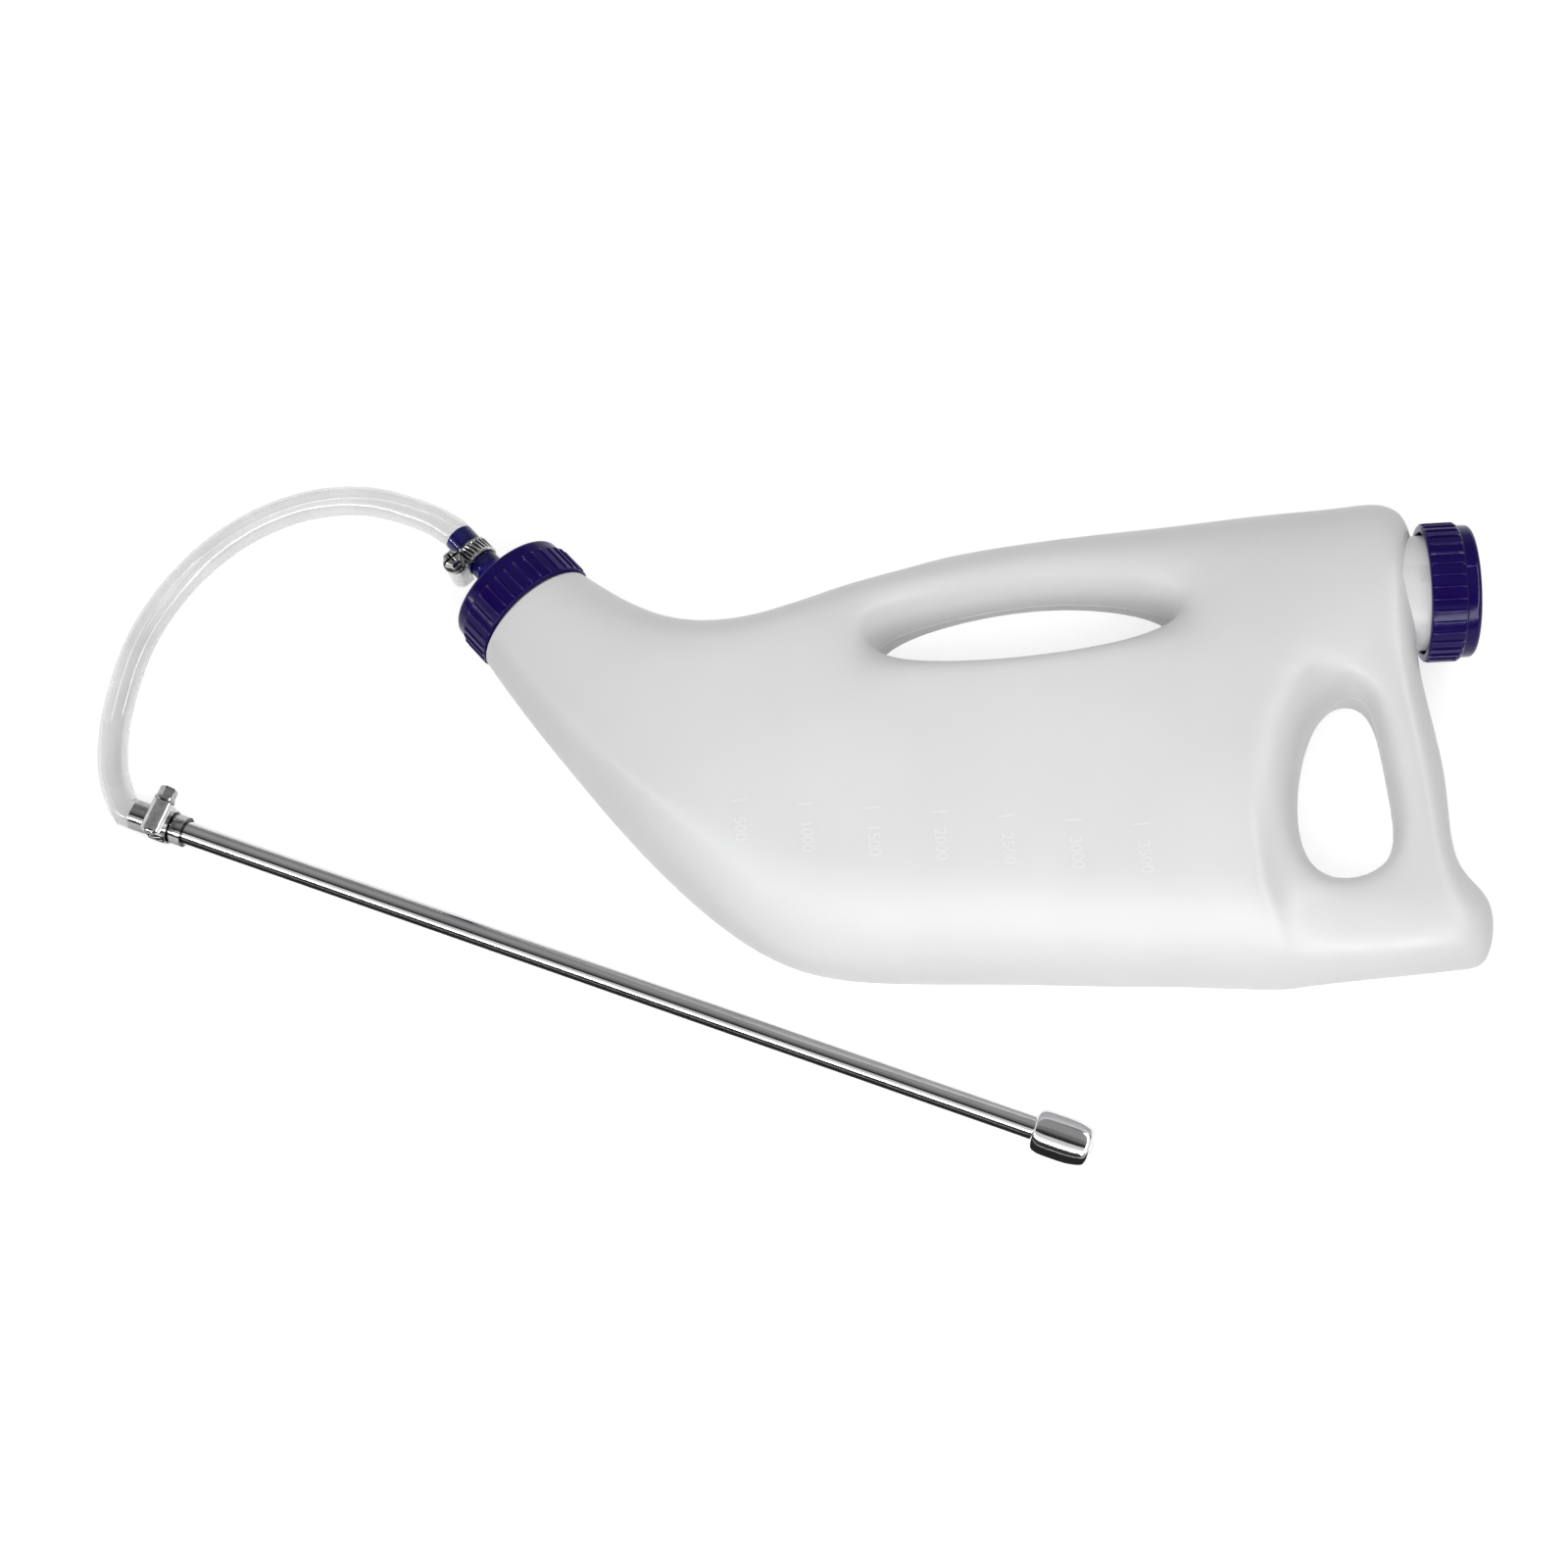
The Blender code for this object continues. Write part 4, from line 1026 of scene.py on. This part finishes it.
def make_cap(name, where, hole_radius, coat):
    """A ribbed cap; with a hole radius of nothing it is closed."""
    profile = cap_profile(hole_radius)
    steps = CAP_RIB_COUNT * RIB_STEPS
    turns = [math.tau * step / steps for step in range(steps)]
    bm = bmesh.new()
    rings = []
    for radius, level in profile:
        if radius == 0.0:
            rings.append([bm.verts.new((0, 0, level))] * steps)
        elif radius > CAP_PANEL_RADIUS - SAME_PLACE:
            rings.append(round_points(bm, [radius + rib_height(turn, level) for turn in turns], level))
        else:
            rings.append(round_points(bm, [radius] * steps, level))
    join(bm, zip(rings, rings[1:] + rings[:1] if profile[0][0] > 0.0 else rings[1:]))
    return solid(name, bm, coat, 30, where)


def make_nozzle(coat):
    under = CAP_HEIGHT - CAP_TOP - GAP - NOZZLE_FLANGE
    face = under + NOZZLE_FLANGE
    shoulder = NOZZLE_SHOULDER
    nose = shoulder + NOZZLE_BARB_LENGTH
    core = TUBE_RADIUS - NOZZLE_BARB_DEPTH
    bore = core - NOZZLE_WALL
    foot = NOZZLE_BASE_RADIUS + NOZZLE_ROUND
    edge = shoulder - NOZZLE_EDGE
    profile = [(bore, under), (NOZZLE_FLANGE_RADIUS, under), (NOZZLE_FLANGE_RADIUS, face), (foot, face)]
    profile += corner(NOZZLE_ROUND, -90, -180, (foot, face + NOZZLE_ROUND))
    profile += [(NOZZLE_BASE_RADIUS, shoulder - NOZZLE_CONE), (HOSE_RADIUS + NOZZLE_EDGE, edge)]
    profile += corner(NOZZLE_EDGE, 0, 90, (HOSE_RADIUS - NOZZLE_EDGE, edge))
    profile += [(core, shoulder)] + barb_points()
    profile += [(core - NOZZLE_EDGE, nose - NOZZLE_NOSE_LENGTH), (bore + NOZZLE_NOSE_LIP, nose)]
    return turned("barbed_nozzle", profile, coat=coat, where=FRONT)


def make_tube(coat):
    inside = TUBE_RADIUS - TUBE_WALL
    profile = [(inside, TUBE_EDGE), (inside + TUBE_EDGE, 0.0), (TUBE_RADIUS - TUBE_EDGE, 0.0),
               (TUBE_RADIUS, TUBE_EDGE), (TUBE_RADIUS, TUBE_LENGTH - TUBE_EDGE),
               (TUBE_RADIUS - TUBE_EDGE, TUBE_LENGTH), (inside, TUBE_LENGTH)]
    return turned("steel_tube", profile, coat=coat, where=TUBE)


def make_tip(coat):
    back = TUBE_LENGTH + GAP - TIP_SOCKET
    nose = back + TIP_LENGTH
    socket = TUBE_RADIUS + GAP
    slope = TIP_LIP * TIP_LIP_SHARE
    drawn = [Vector((share * TIP_RADIUS, back + along * TIP_LENGTH, 0.0)) for share, along in TIP_SHAPE]
    swell = [(min(spot.x, TIP_RADIUS), spot.y) for spot in through(drawn, TIP_SWELL_STEPS)]
    profile = [(socket, back)] + swell + [(TIP_BORE + TIP_LIP, nose), (TIP_BORE + slope, nose - slope)]
    profile += [(TIP_BORE, nose - TIP_LIP), (TIP_BORE, back + TIP_SOCKET), (socket, back + TIP_SOCKET)]
    return turned("swollen_tip", profile, coat=coat, where=TUBE, sharp=50)


def worm_frame(where):
    """Frame of a clamp's screw: its Z points along the worm to the head."""
    return where @ Matrix.Translation((WORM_OFFSET, 0, 0)) @ Matrix.Rotation(-math.pi / 2, 4, "X")


def box(bm, size, matrix):
    made = bmesh.ops.create_cube(bm, size=1.0)["verts"]
    bmesh.ops.scale(bm, vec=size, verts=made)
    bmesh.ops.transform(bm, matrix=matrix, verts=made)


def carve(target, tool):
    """Cuts with a tool whose own material shows in the cut."""
    combine(target, tool, "DIFFERENCE")
    target.modifiers[-1].material_mode = "TRANSFER"


def make_band(name, where, coat, slot_shade_coat):
    """A band with slanted slots round it for the worm."""
    low = HOSE_RADIUS + GAP
    high = low + BAND_THICKNESS
    half = BAND_WIDTH / 2
    profile = [(low, -half), (high - BAND_EDGE, -half), (high, -half + BAND_EDGE),
               (high, half - BAND_EDGE), (high - BAND_EDGE, half), (low, half)]
    band = turned(name, profile, coat=coat)
    bm = bmesh.new()
    for index in range(BAND_SLOTS):
        turn = (Matrix.Rotation(math.tau * (index + 0.5) / BAND_SLOTS, 4, "Z")
                @ Matrix.Translation((high, 0, 0)) @ Matrix.Rotation(SLOT_SLANT, 4, "X"))
        box(bm, (2 * SLOT_DEPTH, SLOT_WIDTH, SLOT_LENGTH), turn)
    # The walls of the slots take the cutter's near-black coat, which is painted shade.
    slots = solid(f"{name}_slots", bm, slot_shade_coat)
    carve(band, slots)
    baked(band, [slots])
    band.data.transform(where)
    return band


def make_housing(name, where, coat):
    """The pressed housing over the band, open along the worm's axis."""
    reach = WORM_OFFSET
    outer = WORM_RADIUS + GAP + HOUSING_WALL
    half_width = HOUSING_WIDTH / 2
    outline = [(reach - HOUSING_SKIRT, -half_width), (reach, -half_width)]
    for index in range(1, HOUSING_STEPS):
        angle = -math.pi / 2 + math.pi * index / HOUSING_STEPS
        outline.append((reach + outer * math.cos(angle), half_width * math.sin(angle)))
    outline += [(reach, half_width), (reach - HOUSING_SKIRT, half_width)]
    bm = bmesh.new()
    face = bm.faces.new([bm.verts.new((x, -HOUSING_LENGTH / 2, z)) for x, z in outline])
    grown = bmesh.ops.extrude_face_region(bm, geom=[face])["geom"]
    moved = [item for item in grown if isinstance(item, bmesh.types.BMVert)]
    bmesh.ops.translate(bm, vec=(0, HOUSING_LENGTH, 0), verts=moved)
    housing = solid(name, bm, coat)
    seat = rod(f"{name}_seat", BAND_ROOM, -HOUSING_WIDTH, HOUSING_WIDTH, None)
    channel = rod(f"{name}_channel", WORM_RADIUS + GAP, -HOUSING_LENGTH, HOUSING_LENGTH,
                  worm_frame(Matrix()))
    combine(housing, seat, "DIFFERENCE")
    combine(housing, channel, "DIFFERENCE")
    rounded(housing, HOUSING_ROUND)
    baked(housing, [seat, channel])
    housing.data.transform(where)
    return housing


def worm_mesh(name):
    """The worm's round body with its fine thread."""
    half = WORM_LENGTH / 2
    bm = bmesh.new()
    rings = []
    for row in range(WORM_LEVELS + 1):
        level = -half + WORM_LENGTH * row / WORM_LEVELS
        full = within((half - abs(level)) / WORM_RUN_OUT)
        radii = []
        for step in range(WORM_STEPS):
            wave = 0.5 + 0.5 * math.cos(math.tau * level / WORM_PITCH - math.tau * step / WORM_STEPS)
            radii.append(WORM_RADIUS - WORM_DEPTH * (1 - wave * full))
        rings.append(round_points(bm, radii, level))
    close(bm, rings)
    return finish_mesh(bm, name, 50)


def turned_mesh(name, profile, steps):
    bm = bmesh.new()
    add_profile(bm, profile, steps)
    return finish_mesh(bm, name)


def recess(name, size, height, coat):
    """A bar that cuts one stroke of the recess into a screw's head."""
    bm = bmesh.new()
    box(bm, size, Matrix.Translation((0, 0, height)))
    return solid(name, bm, coat)


def make_screw(name, where, coat, recess_shade_coat):
    """A worm screw: a fine thread, a collar and a slotted hexagon head with a cross recess."""
    half = WORM_LENGTH / 2
    head = half + SCREW_HEAD_LENGTH
    collar = SCREW_HEAD_RADIUS + SCREW_COLLAR
    under = half + 2 * SCREW_COLLAR
    low = half - SCREW_OVERLAP
    ring = [(0.0, low), (collar, low), (collar, under), (0.0, under)]
    parts = [worm_mesh(f"{name}_worm"), turned_mesh(f"{name}_collar", ring, WORM_STEPS)]
    low = under - SCREW_OVERLAP
    profile = [(0.0, low), (SCREW_HEAD_RADIUS, low)]
    profile += [(SCREW_HEAD_RADIUS * share, head - depth) for share, depth in SCREW_HEAD_SHAPE]
    screw = link(name, turned_mesh(name, profile + [(0.0, head)], 6), coat)
    # The slot and the cross in the head take the near-black coat, which is painted shade.
    cuts = [recess(f"{name}_{kind}", size, head, recess_shade_coat) for kind, size in SCREW_RECESS]
    rounded(screw, SCREW_ROUND)
    for cut in cuts:
        carve(screw, cut)
    baked(screw, cuts)
    bm = bmesh.new()
    for mesh in [screw.data] + parts:
        bm.from_mesh(mesh)
    bmesh.ops.transform(bm, matrix=worm_frame(where), verts=bm.verts)
    screw.data = finish_mesh(bm, name)
    for used in (coat, recess_shade_coat):
        screw.data.materials.append(used)
    return screw


def make_clamp(prefix, where, body, screw_body, coats):
    """One clamp: its middle is where the local frame is, and its screw rides on a body of its own."""
    # slots is the near-black painted shade for the band's slots and the screw's recess.
    steel, zinc, dark, slots = coats
    band = make_band(f"{prefix}_slotted_band", where, steel, slots)
    housing = make_housing(f"{prefix}_worm_housing", where, zinc)
    screw = make_screw(f"{prefix}_worm_screw", where, dark, slots)
    dress(band, body, f"{prefix}_clamp_band")
    dress(housing, body, f"{prefix}_clamp_housing")
    dress(screw, screw_body, f"{prefix}_clamp_screw")


def bare_material(name):
    """A material that has no shader yet."""
    made = bpy.data.materials.new(name)
    made.use_nodes = True
    made.node_tree.nodes.clear()
    return made, made.node_tree


def shine(name, strength):
    """A white material that only shines."""
    made, tree = bare_material(name)
    light = node(tree, "Emission", Color=WHITE, Strength=strength)
    tree.links.new(light.outputs[0], node(tree, "OutputMaterial").inputs["Surface"])
    return made


def seen_white(tree, plain, white, kind):
    """Shows the white shader to camera, glossy and transmission rays, and the plain one to the rest."""
    path = node(tree, "LightPath")
    value = path.outputs["Is Camera Ray"]
    for ray in ("Is Glossy Ray", "Is Transmission Ray"):
        either = node(tree, "Math")
        either.operation = "MAXIMUM"
        tree.links.new(value, either.inputs[0])
        tree.links.new(path.outputs[ray], either.inputs[1])
        value = either.outputs[0]
    mix = node(tree, "MixShader")
    for source, target in zip((value, plain.outputs[0], white.outputs[0]), mix.inputs):
        tree.links.new(source, target)
    tree.links.new(mix.outputs["Shader"], node(tree, kind).inputs["Surface"])


def make_world():
    world = bpy.data.worlds.new("studio")
    world.use_nodes = True
    tree = world.node_tree
    tree.nodes.clear()
    plain, white = (node(tree, "Background", Color=WHITE, Strength=level) for level in (WORLD_LEVEL, 1.0))
    seen_white(tree, plain, white, "OutputWorld")
    bpy.context.scene.world = world


def make_floor():
    bm = bmesh.new()
    bmesh.ops.create_grid(bm, x_segments=8, y_segments=8, size=FLOOR_SIZE)
    coat, tree = bare_material("floor")
    paint = node(tree, "BsdfDiffuse", Color=(FLOOR_GREY, FLOOR_GREY, FLOOR_GREY, 1.0))
    both = node(tree, "AddShader")
    glow = node(tree, "Emission", Color=WHITE, Strength=FLOOR_GLOW)
    tree.links.new(paint.outputs[0], both.inputs[0])
    tree.links.new(glow.outputs[0], both.inputs[1])
    seen_white(tree, paint, both, "OutputMaterial")
    floor = solid("floor", bm, coat)
    floor.location.z = -FLOOR_DROP


def lamp(name, place, size, power):
    data = bpy.data.lights.new(name, "AREA")
    data.shape = "SQUARE"
    data.size = size
    data.energy = power
    thing = link(name, data)
    thing.location = Vector(LIGHT_MIDDLE) + Vector(place)
    thing.rotation_euler = (-Vector(place)).to_track_quat("-Z", "Y").to_euler()
    thing.visible_glossy = False


def card(name, strips, level):
    """A card between pairs of points that only polished surfaces see."""
    bm = bmesh.new()
    made = [[bm.verts.new(spot) for spot in pair] for pair in strips]
    for one, two in zip(made, made[1:]):
        bm.faces.new([one[0], one[1], two[1], two[0]])
    thing = solid(name, bm, shine(name, level))
    for ray in ("camera", "diffuse", "shadow", "volume_scatter"):
        setattr(thing, f"visible_{ray}", False)
    return thing


def tube_card(name, low, high, level, across, back):
    """A curved card along the steel tube.

    The angles run round the tube from the way back to the camera; a point of the tube that faces
    half as far round reflects it.
    """
    reach = TUBE_WAY * CARD_REACH
    middle = TUBE @ Vector((0, 0, TUBE_LENGTH / 2))
    strips = []
    for step in range(CARD_STEPS + 1):
        angle = math.radians(low + (high - low) * step / CARD_STEPS)
        spot = middle + (back * math.cos(angle) + across * math.sin(angle)) * CARD_RADIUS
        strips.append((spot - reach, spot + reach))
    card(name, strips, level)


def floor_card():
    """A dark strip on the floor in front of the tube, for its lowest streak."""
    near, far = FLOOR_CARD_SIDES
    start, end = -FLOOR_CARD_SPARE, TUBE_LENGTH + FLOOR_CARD_SPARE
    strips = [((near, start, 0.0), (near, end, 0.0)), ((far, start, 0.0), (far, end, 0.0))]
    strip = card("floor_card", strips, FLOOR_CARD_GREY)
    strip.matrix_world = (Matrix.Translation((*TUBE_START, FLOOR_CARD_LIFT))
                          @ Matrix.Rotation(math.radians(TUBE_ANGLE) - math.pi / 2, 4, "Z"))
    strip.visible_transmission = False


def hose_card(up, back):
    """A narrow bright card for the long glint on the hose's lower arm."""
    axes = Matrix((up.cross(back), up, back)).transposed()
    ways = [axes @ Vector(way).normalized() for way in HOSE_CARD_LINE]
    side = (ways[-1] - ways[0]).cross(ways[len(ways) // 2]).normalized() * HOSE_CARD_WIDTH / 2
    spots = [Vector(HOSE_CARD_SPOT) + way for way in ways]
    card("hose_card", [(spot + side, spot - side) for spot in spots], HOSE_CARD_LEVEL)


def make_light(up, back):
    """A soft lamp from the near side and a weaker one from the far side, and cards for the gloss."""
    for values in LAMPS:
        lamp(*values)
    facing = (back - TUBE_WAY * back.dot(TUBE_WAY)).normalized()
    across = facing.cross(TUBE_WAY)
    if across.dot(up) < 0:
        across.negate()
    for index, (low, high, level) in enumerate(CARDS):
        tube_card(f"card_{index}", low, high, level, across, facing)
    floor_card()
    hose_card(up, back)


def make_clamps():
    coats = (clamp_coat("band_steel", 0.50, 0.12), clamp_coat("housing_steel", 0.58, 0.14),
             # The last coat, near black, is painted shade for the band's slots and the screw's recess.
             clamp_coat("screw_steel", 0.40, 0.12), clamp_coat("slot_steel", 0.04, 0.4))
    front = FRONT @ Matrix.Translation((0, 0, NOZZLE_SHOULDER + CLAMP_FROM_SHOULDER))
    make_clamp("front", front, "front_end", "front_screw", coats)
    spot = TUBE @ Vector((0, 0, CLAMP_FROM_TUBE_END))
    rear = local_frame(*spot, TUBE_ANGLE + 180.0, up=(0, 0, 1))
    make_clamp("tube", rear, "tube_arm", "tube_screw", coats)


def coat_seals():
    """The seals keep their plain solids and get a rubber look."""
    rubber = seal_coat()
    for name in ("front_seal", "rear_seal"):
        seal = bpy.data.objects[name].data
        seal.materials.clear()
        seal.materials.append(rubber)


def main():
    up, back = make_camera()
    make_hose(hose_coat())
    # The relief's plastic has no scattering and a lighter grey; the lighter grey is a painted highlight
    # where the raised marks and the seam catch the light.
    make_bottle(bottle_coat("milky_polythene", 0.79, 0.25), bottle_coat("milky_polythene_relief", 0.85, 0.0))
    indigo = cap_coat()
    hole = NOZZLE_BASE_RADIUS + CAP_HOLE_CLEARANCE
    dress(make_cap("front_ring_cap", FRONT, hole, indigo), "front_ring", "front_cap")
    dress(make_cap("rear_lid_cap", REAR, 0.0, indigo), "rear_lid", "rear_cap")
    dress(make_nozzle(nozzle_painted_light_coat()), "front_end", "hose_nozzle")
    steel = steel_coat()
    dress(make_tube(steel), "tube_arm", "drench_tube")
    dress(make_tip(steel), "tube_arm", "drench_tip")
    make_clamps()
    coat_seals()
    make_floor()
    make_world()
    make_light(up, back)


main()
bpy.context.scene.view_settings.view_transform = "Standard"
